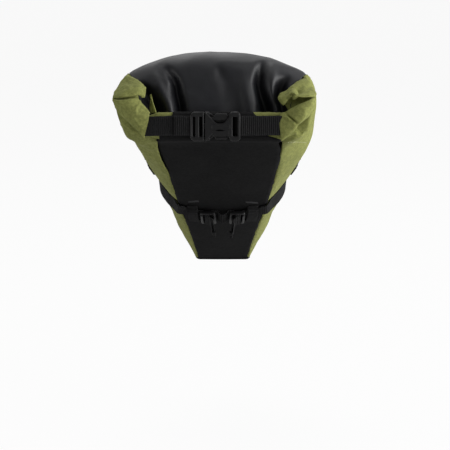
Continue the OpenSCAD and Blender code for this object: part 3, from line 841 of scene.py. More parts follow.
@dataclass(frozen=True)
class MouldedPlastic(Finish):
    """Moulded plastic with a fine spark texture, scuffed here and there."""

    def relief(self, nodes: Nodes) -> tuple[Wave, float]:
        """Fine spark-eroded texture."""
        return nodes.noise(2600.0, 2.0), 0.00006

    def colouring(self, nodes: Nodes) -> Wave:
        """Black with pale scuffs."""
        return nodes.colours(nodes.noise(420.0, 6.0, 1.5).between(0.6, 0.85) * 0.5, *self.shades(0.9, 3.0))

    def gloss(self, nodes: Nodes) -> Wave:
        """Handled areas shine a little more."""
        return nodes.noise(120.0, 4.0) * 0.2 + (self.roughness - 0.1)


@dataclass(frozen=True)
class GripRubber(Finish):
    """Soft rubber with small raised studs."""

    def relief(self, nodes: Nodes) -> tuple[Wave, float]:
        """Rows of studs."""
        place = nodes.add("ShaderNodeTexCoord", output="Object")
        studs = nodes.add("ShaderNodeTexVoronoi", {"feature": "F1"},
                          {"Vector": place, "Scale": 420.0, "Randomness": 0.15}, "Distance")
        return 1 - studs.between(0.2, 0.6) + nodes.noise(1500.0) * 0.2, 0.0004


GREEN = WovenCloth("green_woven_cloth", Slot.GREEN, (0.256, 0.272, 0.083), 0.85, 0.15, 0.03)
# Bluish black: its blue tint paints in the bluish sheen of the coat's highlights.
COATED = CoatedCloth("black_coated_cloth", Slot.COATED, (0.0062, 0.0066, 0.0092), 0.5, 0.5)
BASE = WovenCloth("black_base_cloth", Slot.BASE, (0.0095, 0.0095, 0.0098), 0.85, 0.1, yarn=0.0008, fleck_and_highlight_lift=1.5)
LINING = CoatedCloth("grey_lining", Slot.LINING, (0.16, 0.165, 0.17), 0.5, 0.3)
WEBBING = RibbedWebbing("black_webbing", Slot.WEBBING, (0.0155, 0.0155, 0.016), 0.85, 0.15)
PLASTIC = MouldedPlastic("black_plastic", Slot.PLASTIC, (0.006, 0.006, 0.0065), 0.36, 0.35)
BOARD = Finish("pale_board", Slot.STIFFENER, (0.6, 0.6, 0.58), 0.55, 0.3)
RUBBER = GripRubber("black_grip_rubber", Slot.GRIP, (0.022, 0.022, 0.022), 0.8, 0.2)
BLACK_THREAD = Finish("black_thread", Slot.WEBBING, (0.04, 0.04, 0.042), 0.75, 0.3)
GREEN_THREAD = Finish("green_thread", Slot.GREEN, (0.55, 0.57, 0.32), 0.75, 0.25)


# ---- Form of the bag ----


@dataclass(frozen=True)
class Spot:
    """A place on the bag's skin: the point, directions across and along the panel, and the way out."""

    point: Array
    across: Array
    along: Array
    out: Array

    def at(self, x: float, y: float, z: float) -> Array:
        """Point at local coordinates."""
        return self.point + self.across * x + self.along * y + self.out * z


@dataclass(frozen=True)
class BagForm:
    """The outside of the bag: ten stations from the nose to the mouth, as in the part's source.

    A station's numbers are the base end's y and z, the top end's y and z, the half widths at the base and
    the top, the side's bulge, the top's crown, the base's bulge, and its shift in x.
    """

    stations: tuple[tuple[float, ...], ...] = (
        (-33.84, -29.0, -11.84, -29.0, 23.0, 18.0, 4.0, 0.0, 0.9, 0.0),
        (-51.92, -15.94, -17.76, -9.64, 25.39, 20.2, 9.0, 0.0, 2.1, 0.0),
        (-71.89, -1.45, -25.53, 15.77, 29.01, 22.95, 14.5, 0.0, 3.0, 0.0),
        (-93.92, 14.69, -35.88, 49.65, 33.43, 27.9, 17.0, 0.0, 3.0, 0.0),
        (-116.91, 31.74, -48.83, 92.0, 38.06, 37.8, 20.5, 0.4, 3.0, 0.0),
        (-139.89, 49.06, -86.0, 112.0, 42.28, 49.9, 22.5, 4.4, 3.0, 0.0),
        (-162.96, 66.69, -135.68, 123.84, 45.68, 62.0, 21.0, 9.0, 3.0, 0.0),
        (-183.96, 82.9, -178.0, 149.0, 47.73, 73.0, 16.0, 20.0, 3.0, -1.98),
        (-198.6, 94.25, -198.0, 127.88, 48.41, 80.0, 10.0, 9.0, 2.1, -4.2),
        (-206.0, 100.0, -203.0, 117.0, 48.5, 62.0, 5.0, 0.0, 0.9, -6.0),
    )

    def station(self, v: float) -> Array:
        """Station at a whole or broken number v, by Catmull-Rom."""
        table = np.array(self.stations)
        i = min(int(v), len(table) - 2)
        p, q, r, s = (table[min(max(i + k, 0), len(table) - 1)] for k in (-1, 0, 1, 2))
        return catmull(p, q, r, s, v - i)

    def point(self, panel: Panel, v: float, a: float) -> Array:
        """Point on a panel; a runs -1 to 1 across the base and the top, and 0 to 1 up a side."""
        s = self.station(v)
        base, top = s[0:2], s[2:4]
        rise = unit(top - base)
        if panel is Panel.BASE:
            y, z = base - rise * s[8] * (1 - a * a)
            return vec(s[9] + a * s[4], y, z)
        if panel is Panel.TOP:
            y, z = top + rise * s[7] * (1 - abs(a) ** 2.4)
            return vec(s[9] + a * s[5], y, z)
        y, z = base + (top - base) * a
        reach = s[4] + (s[5] - s[4]) * a + s[6] * 4 * a * (1 - a)
        return vec(s[9] + panel.value * reach, y, z)

    def grid(self, panel: Panel, rows: Sequence[float], columns: Sequence[float]) -> ClothGrid:
        """Points of a panel at the given places along and across it."""
        return ClothGrid(np.array([[self.point(panel, v, a) for a in columns] for v in rows]), panel.outward)

    def spot(self, panel: Panel, v: float, a: float, lift: float = 0.0) -> Spot:
        """Place on a panel, lifted off it by a distance in millimetres."""
        step = 0.02
        over = unit(self.point(panel, v, a + step) - self.point(panel, v, a - step))
        along = unit(self.point(panel, v + step, a) - self.point(panel, v - step, a))
        out = panel.outward * unit(np.cross(over, along))
        return Spot(self.point(panel, v, a) + out * lift, over, along, out)


# ---- Soft shell ----


@dataclass(frozen=True)
class Shell:
    """What all panels of the shell share: layers, seams, and the two ends of the bend between the bag and its
    roll.

    The lining and the board hold their depth and thickness, and the swell its move on the left and right.
    """

    form: BagForm = BagForm()
    cloth: float = 1.1
    lining: Flat = (3.2, 0.6)
    board: Flat = (1.6, 0.9)
    swell: Flat = (-1.2, 2.4)
    swell_y: float = -188.0
    swell_l: float = 27.0
    seam_w: float = 0.16
    pucker: float = 0.45
    bend_from: Place = (0.0, -0.197, 0.093)
    bend_to: Place = (0.0, -0.2125, 0.104)

    def seam_dip(self, share: Array, width: float = 0.035, depth: float = 1.1) -> Array:
        """Inward pull of the seams along both edges of a panel whose width share runs 0 to 1."""
        return -depth * (bump_shape(share / width) + bump_shape((1 - share) / width))

    def swelled(self, grid: ClothGrid, nearness: Array) -> ClothGrid:
        """A panel moved sideways where the base is full, by how near each point is to the base's edge."""
        x, y, _ = np.moveaxis(grid.points, -1, 0)
        amount = np.where(x < 0, *self.swell) * bump_shape((y - self.swell_y) / self.swell_l) * nearness
        return ClothGrid(grid.points + amount[..., None] * vec(1, 0, 0), grid.outward)

    def puckers(self, grid: ClothGrid, size: float = 7.0, seed: float = 3.0) -> Array:
        """Small puckers that sewing draws into the cloth beside a seam."""
        near = bump_shape(grid.share / self.seam_w) + bump_shape((1 - grid.share) / self.seam_w)
        return near * self.pucker * cloth_noise(grid.points, size, seed, 2)

    def layer(self, grid: ClothGrid, rows: slice, columns: slice, name: str, node: str,
              finish: Finish) -> None:
        """Makes the lining or board, by its finish, under the panel's outside in these rows and columns."""
        depth, thick = self.lining if finish is LINING else self.board
        grid.trimmed(rows, columns).pushed(-depth).solid(thick).make(name, finish, node)

    def follow_roll(self, piece: bpy.types.Object) -> bpy.types.Object:
        """Bakes a piece's placement into its mesh."""
        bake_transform(piece)
        return piece


@dataclass(frozen=True)
class SideGusset:
    """Green side panel, from the nose to the ear that folds inwards above the roll.

    The last rows are written out, from the base seam up to the top seam, in millimetres. A hollow holds the
    x and z of its middle, its half width, slope and depth.
    """

    panel: Panel
    rear_rows: Rows
    hollows: tuple[tuple[float, ...], ...]
    seed: float
    mouth_edge: Rows = ()
    shell: Shell = Shell()
    front_rows: tuple[float, ...] = tuple(k * 0.5 for k in range(15))
    columns: int = 8
    pinch: float = 1.7
    puff: float = 0.0

    def grid(self) -> ClothGrid:
        """The panel's outside, with its wrinkles."""
        shares = [k / self.columns for k in range(self.columns + 1)]
        front = self.shell.form.grid(self.panel, self.front_rows, shares)
        rows = np.concatenate([front.points, np.array(self.rear_rows)])
        fine = ClothGrid(rows, self.panel.outward).finer(6, 7)
        share = fine.share
        fine = self.shell.swelled(fine, (1 - share) ** 4)
        place = fine.points
        x, y, z = np.moveaxis(place, -1, 0)
        rear = ease((-y - 172) / 22)
        lift = self.shell.seam_dip(share) * (1 - rear * 0.6) + self.shell.puckers(fine, seed=self.seed)
        lift = lift + (0.45 + 0.1 * rear) * cloth_noise(place, 34, self.seed + 5)
        lift = lift + rear * (0.8 * creases(place, 15, self.seed + 9) - 0.3)
        lift = lift + self.puff * bump_shape((-y - 176) / 30) * bump_shape((share - 0.2) / 0.4)
        past = np.arange(len(place))[:, None] / 12 - LowerStrap().stop(share)
        lift = lift - self.pinch * bump_shape((past - 0.1) / 0.7) + 1.3 * bump_shape((past + 0.5) / 0.6)
        for middle_x, middle_z, width, slope, depth in self.hollows:
            gap = (z - middle_z) - (x - middle_x) * slope
            lift = lift - rear * depth * bump_shape(gap / width) * bump_shape((x - middle_x) / 9)
        return fine.pushed(lift)

    def build(self) -> bpy.types.Object:
        """Makes the panel, its lining and its board."""
        grid, word, shell = self.grid(), self.panel.word, self.shell
        parts = grid.solid(shell.cloth)
        if self.mouth_edge:
            ClothGrid(np.array(self.mouth_edge), self.panel.outward).finer(5, 5).solid(1.0, parts)
        piece = parts.make(f"side_gusset_{word}", GREEN, f"side_panel_{word}", body=None)
        keep = slice(0, 6 * len(self.front_rows) - 4)
        shell.layer(grid, keep, slice(2, -2), f"inner_lining_{word}", f"lining_{word}", LINING)
        shell.layer(grid, slice(8, 80), slice(7, -7), f"side_board_{word}", f"side_stiffener_{word}", BOARD)
        return shell.follow_roll(piece)


LEFT_GUSSET = SideGusset(
    Panel.LEFT,
    (
        ((-51, -190, 88), (-64, -190, 93.5), (-75, -191, 102), (-79, -191, 112), (-82.5, -191, 121),
         (-85, -190, 130), (-85.2, -188.5, 138), (-82, -186.5, 145), (-76.4, -184, 150.6)),
        ((-52, -198.5, 94.3), (-66, -199, 95.5), (-77.5, -200, 101.5), (-82.2, -201, 110.5),
         (-85.4, -203, 119), (-88.3, -208, 132.3), (-88, -204.5, 135.7), (-84.7, -198, 141.3),
         (-77.6, -187, 150.9)),
        ((-52.3, -204.5, 98), (-61, -206.5, 98.7), (-70.5, -207, 103.5), (-77.5, -206.5, 112),
         (-83.1, -208, 132.4), (-82.6, -216, 133.5), (-81, -214.5, 136.9), (-78, -207.5, 141.8),
         (-72.9, -192.5, 148.8)),
        ((-52, -208, 101), (-58, -210, 101.5), (-64.5, -210, 104), (-72, -207, 113), (-76.5, -207, 132.4),
         (-75.9, -217.8, 133.9), (-74.5, -217, 137), (-71.4, -211.5, 141.8), (-68.5, -199, 146.7)),
        ((-51, -208.5, 104), (-56.5, -209.5, 104.5), (-62.5, -209, 107.5), (-67, -206, 116),
         (-70.8, -205.5, 132.7), (-70.4, -217, 134.4), (-68.1, -217, 137.5), (-65.7, -212.5, 141.1),
         (-64.8, -204, 144.6)),
        ((-51, -207.5, 107), (-56.5, -208.5, 108.5), (-62.5, -208, 111), (-65.5, -205, 118),
         (-68.2, -204, 134.5), (-68.2, -213.5, 135.6), (-62.8, -213, 132.9), (-61.3, -211, 137.8),
         (-61.6, -208, 141.4)),
    ),
    ((-84, 131, 2.2, 0.0, 1.0), (-76, 144, 3.0, -0.5, 0.7)),
    11.0,
    (
        ((-58.5, -203, 135.2), (-58.1, -206, 135.2), (-57.9, -207, 135.2), (-57.8, -205, 134.8)),
        ((-58.7, -202, 130.4), (-57.7, -206, 130.8), (-56.8, -208, 131.1), (-56.6, -205, 131)),
        ((-59, -202, 125.3), (-57.4, -206.5, 125.7), (-55.3, -208.5, 126.3), (-55, -206, 126.3)),
        ((-59.3, -202, 119.6), (-57, -206.5, 120), (-53.6, -208.5, 120.6), (-53.1, -206, 120.6)),
    ),
    puff=4.4,
)


RIGHT_GUSSET = SideGusset(
    Panel.RIGHT,
    (
        ((46.5, -190, 88), (56, -190, 94.5), (63.5, -190.5, 102), (69, -191, 111), (72, -191, 120),
         (73.5, -190.5, 129), (73, -189, 137), (70.5, -186.5, 144), (66.5, -184, 149.2)),
        ((47, -198.5, 94.3), (57, -199, 97), (65.5, -200.5, 102), (71, -201.5, 110), (73.6, -202, 119.5),
         (75, -207, 133.4), (75.3, -203, 136.7), (73, -197.5, 141.2), (67.1, -187, 147.8)),
        ((47.3, -204.5, 98), (55.5, -206.5, 98.5), (63, -208.5, 101.5), (69, -207, 110), (70.8, -207, 133.3),
         (70.1, -215, 134), (68.8, -211, 137), (66.3, -204, 141.2), (62.5, -192, 146.4)),
        ((47, -208, 101), (52, -209.5, 101.5), (57.5, -209, 105), (63, -205.5, 114), (64.3, -204, 133.2),
         (63.5, -217, 133.5), (61.5, -216, 136.6), (59.8, -208.5, 139.4), (57.5, -199, 143.4)),
        ((46, -208, 104), (50.5, -209, 104.5), (55, -207, 108), (59, -203, 116), (56.9, -201, 134.4),
         (56, -217, 134.7), (54, -217, 136.4), (52.9, -212, 137.5), (52.4, -205.5, 140)),
        ((46, -207, 107), (50, -206, 108), (53, -204, 112), (54.5, -201, 118), (50, -201, 127.2),
         (49.1, -214, 126.6), (45.7, -215.5, 130.1), (44.3, -213, 133.4), (46.4, -209.5, 136.7)),
    ),
    ((58, 137.5, 3.4, 0.5, 4.2), (67, 139.5, 3.0, 0.35, 1.4), (66, 104, 2.2, -0.2, 2.2)),
    23.0,
)


@dataclass(frozen=True)
class Fold:
    """A fold in the top panel: where it runs as x for heights z, with its half width and depth there.

    A positive depth dents the cloth inwards; `left` and `right` widen or narrow its two flanks.
    """

    heights: tuple[float, ...]
    places: tuple[float, ...]
    widths: tuple[float, ...]
    depths: tuple[float, ...]
    left: float = 1.0
    right: float = 1.0

    def push(self, points: Array) -> Array:
        """Outward move of each point."""
        z = points[..., 2]
        off = points[..., 0] - np.interp(z, self.heights, self.places)
        wide = np.interp(z, self.heights, self.widths) * np.where(off < 0, self.left, self.right)
        return -np.interp(z, self.heights, self.depths) * bump_shape(off / np.maximum(wide, 0.1))


@dataclass(frozen=True)
class TopPanel:
    """Black coated top, from the front edge over the crowned ridge and down behind the roll.

    A rear row holds the middle's y and z, the left edge's x, y, z and the right edge's x, y, z.
    """

    shell: Shell = Shell()
    front_rows: tuple[float, ...] = (4, 4.5, 5, 5.5, 6, 6.4, 6.8)
    rear_rows: tuple[tuple[float, ...], ...] = (
        (-176.2, 167.2, -76, -178.5, 151, 69, -178.5, 150),
        (-183.5, 164.0, -76, -184, 150.2, 66.5, -184, 148.8),
        (-190.0, 157.0, -73.5, -190, 145.5, 62, -190.5, 144),
        (-195.2, 146.5, -70, -195.5, 139, 58.5, -196, 137),
        (-199.4, 135.0, -67.5, -200, 130.5, 56, -200.5, 129),
        (-202.2, 125.0, -66, -203, 122.5, 54.5, -203.5, 121.5),
        (-204.3, 115.5, -65, -205, 114.5, 53.5, -205.2, 114.5),
    )
    folds: tuple[Fold, ...] = (
        Fold((118, 125, 130, 135, 140, 145, 149, 154, 157),
             (-33.5, -34.6, -35.4, -37, -37.8, -38.6, -41, -44.3, -46.5),
             (5.5, 5.5, 5.5, 5.5, 5.5, 5, 4.5, 3.5, 2), (11, 11, 11, 11, 10, 9, 7, 4, 0), 0.9, 1.0),
        Fold((118, 125, 130, 135, 140, 145, 152), (-41.5, -42.7, -45, -47.6, -50.8, -52.4, -55),
             (5, 5, 5, 5, 5, 5, 3), (-3, -3, -3, -3.2, -3, -2, 0)),
        Fold((118, 125, 130, 135, 140, 143), (-52, -53.5, -56, -60, -63, -65), (9, 9, 8.5, 7, 5, 3),
             (12, 12, 12, 10, 7, 0), 1.6, 0.8),
        Fold((118, 125, 135, 145, 149, 154, 158), (12, 11, 7, 3, 0, -2, -4), (12, 12, 10, 7, 6, 4, 2),
             (1.6, 1.6, 1.4, 1.8, 2.2, 2.0, 0), 1.2, 1.0),
        Fold((118, 125, 135, 145, 156), (22, 21.5, 19, 17.4, 18), (7, 7, 6.5, 5, 3),
             (-2.2, -2.2, -1.8, -1.4, 0)),
        Fold((118, 125, 130, 135, 140, 145, 149, 154, 158, 162),
             (35, 34.5, 33, 31.3, 30, 29, 29.8, 30.4, 31.5, 33),
             (9.5, 9, 7.5, 6.5, 6, 6, 5.5, 5, 3.5, 2), (14, 14, 13.5, 13, 12, 11, 9, 6.5, 3.5, 0), 0.8, 1.2),
        Fold((130, 140, 149, 156, 162), (42.5, 41, 40, 40.5, 42), (4.5, 4.5, 4.5, 4, 2),
             (-2, -2, -2.4, -1.6, 0)),
        Fold((118, 130, 135, 140, 145, 149), (49, 47.5, 46.5, 47, 49, 52), (6, 6, 6, 6, 5, 3),
             (12, 12, 11.5, 11, 8, 0), 1.0, 1.3),
    )

    @staticmethod
    def _rear_row(numbers: tuple[float, ...], shares: Array) -> Array:
        """Points of one rear row, crowned between its two edges."""
        y, z, *ends = numbers
        left, right = np.array(ends[:3]), np.array(ends[3:])
        middle = (left + right) / 2
        rise = vec(0, y - middle[1], z - middle[2])
        flat = left + np.outer((shares + 1) / 2, right - left)
        return flat + np.outer(1 - abs(shares) ** 2.4, rise)

    def grid(self) -> ClothGrid:
        """The panel's outside, with its folds."""
        shares = np.linspace(-1, 1, 15)
        front = self.shell.form.grid(Panel.TOP, self.front_rows, shares.tolist())
        rear = np.array([self._rear_row(row, shares) for row in self.rear_rows])
        fine = ClothGrid(np.concatenate([front.points, rear]), -1).finer(9, 10)
        place = fine.points
        back, calm = ease((-place[..., 1] - 176) / 10), ease((-place[..., 1] - 120) / 50)
        lift = self.shell.seam_dip(fine.share, 0.02, 0.9) * (1 - back)
        lift = lift + softened(sum(fold.push(place) for fold in self.folds) * back, 7)
        lift = lift + (0.15 + 0.45 * calm) * cloth_noise(place, 46, 4.0)
        return fine.pushed(lift + calm * 0.4 * creases(place, 26, 8.0, 2.0) * (1 - back * 0.4))

    def build(self) -> None:
        """Makes the panel and its lining."""
        grid = self.grid()
        grid.solid(self.shell.cloth).make("top_cover", COATED, "top_panel")
        self.shell.layer(grid, slice(0, None), slice(3, -3), "inner_lining_top", "lining_top", LINING)


@dataclass(frozen=True)
class NosePanel:
    """Black front face behind the seatpost, with the flat nose cap under it."""

    shell: Shell = Shell()
    cap_rings: tuple[Flat, ...] = ((1.0, 0.0), (1.0, 0.7), (0.975, 1.3), (0.93, 1.6), (0.8, 1.6), (0.5, 1.6),
                                   (0.02, 1.6))

    def build(self) -> None:
        """Makes the front face, its board and the cap."""
        rows = [k * 0.4 for k in range(11)]
        grid = self.shell.form.grid(Panel.TOP, rows, np.linspace(-1, 1, 11).tolist()).finer(5, 5)
        calm = 1 - bump_shape((grid.share - 0.5) / 0.45)
        lift = 0.35 * calm * (1 + cloth_noise(grid.points, 22, 6.0))
        grid = grid.pushed(self.shell.seam_dip(grid.share, 0.03, 0.8) - lift)
        grid.solid(self.shell.cloth).make("front_face", BASE, "nose_panel")
        self.shell.layer(grid, slice(8, 47), slice(5, -5), "front_board", "nose_stiffener", BOARD)
        self._cap()

    def _cap(self) -> None:
        """Makes the cap: a thick patch, rounded at its edge and slightly domed."""
        around = ((Panel.BASE, -1, 1, 9), (Panel.RIGHT, 0.15, 1, 7), (Panel.TOP, 0.8, -1, 8),
                  (Panel.LEFT, 0.85, 0.15, 6))
        edge = [self.shell.form.point(panel, 0, a) for panel, *ends in around for a in np.linspace(*ends)]
        loop = smooth_curve(np.array([*edge, edge[0]]), 3)
        centre = loop.mean(axis=0)
        rings = [centre + (loop - centre) * vec(share, share, 1) - vec(0, 0, drop)
                 for share, drop in self.cap_rings]
        grid = ClothGrid(np.array(rings)).facing(vec(0, 0, -1), 5, 5)
        grid.solid(0.8).make("nose_patch", BASE, "nose_cap")


@dataclass(frozen=True)
class BasePanel:
    """Matt black base, from the nose up to the mouth and on around the middle of the roll.

    A wrap row holds y, z and the lowest and highest x.
    """

    shell: Shell = Shell()
    front_rows: tuple[float, ...] = (0, 0.5, 1, 1.5, 2, 2.5, 3, 3.5, 4, 4.5, 5, 5.5, 6, 6.5, 7, 7.5, 8)
    wrap_rows: tuple[tuple[float, float, float, float], ...] = (
        (-205.6, 97.0, -53.0, 47.6),
        (-209.0, 97.0, -52.6, 47.6),
        (-212.8, 98.0, -51.6, 47.2),
        (-215.6, 100.6, -50.8, 43.0),
        (-216.6, 104.0, -50.7, 34.0),
        (-216.6, 109.0, -49.0, 31.0),
        (-216.6, 115.0, -46.0, 34.0),
        (-216.1, 119.0, -41.0, 27.5),
        (-213.8, 121.5, -40.0, 25.0),
        (-210.6, 121.8, -40.0, 25.0),
        (-207.6, 119.8, -40.0, 25.0),
        (-206.6, 116.0, -40.0, 25.0),
    )

    def grid(self) -> ClothGrid:
        """The panel's outside."""
        shares = np.linspace(-1, 1, 11)
        front = self.shell.form.grid(Panel.BASE, self.front_rows, shares.tolist())
        wrap = np.array([[(lo + (hi - lo) * (a + 1) / 2, y, z) for a in shares]
                         for y, z, lo, hi in self.wrap_rows])
        fine = ClothGrid(np.concatenate([front.points, wrap]), 1).finer(5, 8)
        fine = self.shell.swelled(fine, abs(2 * fine.share - 1) ** 2)
        on_roll = ease((-fine.points[..., 1] - 203) / 8)
        lift = self.shell.seam_dip(fine.share, 0.03, 1.0) * (1 - on_roll * 0.7)
        lift = lift + self.shell.puckers(fine, 8, 2.0) * 0.6
        return fine.pushed(lift + 0.3 * cloth_noise(fine.points, 50, 7.0) * (1 - on_roll))

    def build(self) -> bpy.types.Object:
        """Makes the panel, its lining and its board."""
        grid = self.grid()
        piece = grid.solid(self.shell.cloth * 0.8).make("base_cover", BASE, "base_panel", body=None)
        rows = slice(0, 5 * len(self.front_rows))
        self.shell.layer(grid, rows, slice(3, -3), "inner_lining_base", "lining_base", LINING)
        self.shell.layer(grid, slice(7, 83), slice(10, -10), "base_board", "base_stiffener", BOARD)
        return self.shell.follow_roll(piece)


@dataclass(frozen=True)
class Roll:
    """The rolled mouth: a flattened coil of green cloth behind the closure."""

    left: float = -65.0
    right: float = 60.0
    middle_y: float = -211.5
    low: float = 99.5
    high: float = 121.6
    half_thickness: float = 4.1

    def section(self) -> list[Flat]:
        """Coil section, y and z: round its rear edge and back, with its ends left open for a lap."""
        t = self.half_thickness
        turn = [*zip(turned(-90, 90, 7), [self.low + t] * 4 + [self.high - t] * 3),
                *zip(turned(90, 270, 9)[1:-1], [self.high - t] * 3 + [self.low + t] * 4)]
        return [(self.middle_y - t * c, z + t * s) for (c, s), z in turn]

    def build(self) -> None:
        """Makes the coil and the stiff strip that the mouth is rolled round."""
        section = np.array(self.section())
        middle = vec(self.middle_y, (self.low + self.high) / 2)
        rows = []
        for x in np.linspace(self.left, self.right, 75):
            near = min(x - self.left, self.right - x)
            ring = middle + (section - middle) * (1 - 0.35 * bump_shape(near / 14))
            rows.append([(x, y, z) for y, z in [*ring, ring[0]]])
        grid = ClothGrid(np.array(rows)).facing(vec(0, -1, 0), 30, 3)
        lift = 0.35 * cloth_noise(grid.points, 14, 9.0) + 0.4 * creases(grid.points, 16, 2.0, 2.0) - 0.3
        grid.pushed(lift).solid(0.8).make("rolled_mouth", GREEN, "roll_core", body=Body.ROLL.value)
        strip = MeshParts()
        outline = box_outline((self.left + 4, self.right - 4), (self.low + 4, self.high - 4), 1.5)
        Plate(outline, 0.0, 1.0).add_to(strip, upright(vec(0, self.middle_y + 0.5, 0)))
        strip.make("mouth_board", BOARD, "mouth_stiffener", body=Body.ROLL.value)


@dataclass(frozen=True)
class RollEnd:
    """End of the roll, bent round towards the rider's back and inwards: two layers of green cloth.

    Rows run from the top fold to the lower fold, columns from behind the bend to the turned inner edge. A
    tuck holds the x and z of its middle, its slope, its half length and its depth.
    """

    panel: Panel
    rows: Rows
    seed: float
    tucks: tuple[tuple[float, ...], ...] = ()

    def build(self) -> None:
        """Makes the two layers."""
        parts = MeshParts()
        for lift, rows, columns in ((0.0, slice(None), slice(None)), (-1.7, slice(3, -3), slice(0, -5))):
            grid = ClothGrid(np.array(self.rows), self.panel.outward).finer(9, 7)
            place = grid.points
            down, over = (np.sin(np.linspace(0, math.pi, count)) for count in place.shape[:2])
            wrinkle = 1.5 * creases(place, 14, self.seed) - 0.4 + 0.5 * cloth_noise(place, 11, self.seed)
            wrinkle = wrinkle * down[:, None] * over[None, :]
            for x, z, slope, length, depth in self.tucks:
                off = (place[..., 2] - z) - (place[..., 0] - x) * slope
                wrinkle = wrinkle - depth * bump_shape(off / 1.8) * bump_shape((place[..., 0] - x) / length)
            grid.pushed(wrinkle + lift).trimmed(rows, columns).solid(1.0, parts)
        word = self.panel.word
        parts.make(f"roll_end_fold_{word}", GREEN, f"roll_end_{word}", body=Body.ROLL.value)


LEFT_END = RollEnd(
    Panel.LEFT,
    (
        ((-88.3, -209, 133.4), (-84.2, -210, 132.2), (-78.4, -210, 131.7), (-73.3, -210, 131.7),
         (-69.1, -209.5, 131.6), (-65.6, -209.5, 128.3), (-62.1, -210, 124.4), (-59.1, -210.5, 120.4)),
        ((-88.3, -213.5, 132), (-83.8, -217.5, 131.7), (-77.9, -219, 132.4), (-72.9, -219, 133.1),
         (-68.3, -217, 133.1), (-64.8, -217, 129.8), (-61.2, -217.5, 125.9), (-58, -218, 121.7)),
        ((-87.6, -214, 129.7), (-82.5, -220.2, 129.3), (-77.8, -221.8, 129.4), (-72.7, -222, 129.1),
         (-68.5, -221, 128.2), (-64.7, -220.5, 125.4), (-61.2, -220.5, 122.3), (-58.5, -220.5, 119.8)),
        ((-86.7, -213.5, 126.9), (-82.2, -219, 126.3), (-77.8, -221.5, 125.1), (-73.1, -222.6, 123.7),
         (-68.9, -222.6, 122.1), (-65.1, -222.2, 119.8), (-61.6, -221.8, 117), (-59.3, -221.2, 115)),
        ((-85.7, -212.5, 124.3), (-81.8, -216.5, 122.9), (-78, -219, 120.3), (-74.1, -220.6, 117.9),
         (-69.8, -221.2, 115.2), (-66.3, -221.2, 113.1), (-62.9, -220.8, 111.1), (-60.6, -220.4, 110.3)),
        ((-84.8, -211.5, 122.4), (-81.4, -214, 119.4), (-77.8, -215.6, 116), (-74.3, -217, 112.7),
         (-70, -218.4, 108.9), (-66.9, -219, 105.9), (-64.5, -219.2, 103.5), (-62.9, -219.2, 101.3)),
        ((-84.4, -209, 122.4), (-81, -210.5, 119.6), (-77.5, -211.5, 116.4), (-73.8, -212.5, 113),
         (-69.6, -213.5, 109.4), (-66.7, -214.2, 106.5), (-64.8, -214.6, 104.4), (-63.4, -215, 102.5)),
    ),
    31.0,
)


RIGHT_END = RollEnd(
    Panel.RIGHT,
    (
        ((74.8, -208, 133.7), (72, -209, 132.4), (68, -209, 129.6), (61.9, -209.5, 126.9),
         (55.3, -209.5, 123.4), (51.2, -210, 121), (47.5, -210, 119.9)),
        ((74.9, -211.5, 132.6), (72, -215.5, 132.8), (67.6, -217.5, 131.1), (61.5, -218.5, 128.5),
         (54.7, -218.5, 125.2), (50.6, -218, 122.7), (46.7, -217.5, 121.3)),
        ((74.7, -213, 129.6), (71.7, -219, 128.9), (66.8, -221.6, 126.9), (60.9, -222.4, 123.9),
         (55, -221.8, 121), (50.5, -221, 118.7), (45.8, -219.5, 117)),
        ((74.3, -213, 126.3), (70.4, -219.5, 125.4), (65.7, -222.4, 123), (60.5, -222.8, 120),
         (55, -222.6, 116.7), (50.4, -222, 114), (45.6, -220.4, 112.3)),
        ((73.6, -212.5, 124.3), (70, -219, 122.5), (65.4, -222, 119.5), (60.1, -222.8, 116.3),
         (55.3, -222.8, 112.1), (50.5, -222.2, 109), (46.1, -220.8, 107.1)),
        ((73.1, -211.5, 123.6), (71.4, -215.5, 121.3), (66, -219, 116), (60.7, -220.5, 111.8),
         (57.2, -221, 107.5), (52.4, -221, 103), (47.2, -220, 98.9)),
        ((72.9, -209, 123.5), (70.9, -210.5, 121.5), (65.6, -212, 116.5), (60.3, -213, 112.4),
         (56.5, -213.5, 108.3), (52.1, -214, 104.1), (47.7, -214.5, 100.6)),
    ),
    47.0,
    ((55.5, 117.0, -0.85, 6.5, 3.2),),
)


# ---- Buckles and straps ----


@dataclass(frozen=True)
class BuckleSizes:
    """Sizes of the side-release buckles; x runs from plug to socket, y across the strap, z outwards."""

    half: float = 11.7
    thick: float = 7.0
    socket_l: float = 28.8
    plug_l: float = 11.2
    web_half: float = 7.8
    slot: Flat = (22.6, 26.8)
    wall: float = 1.9


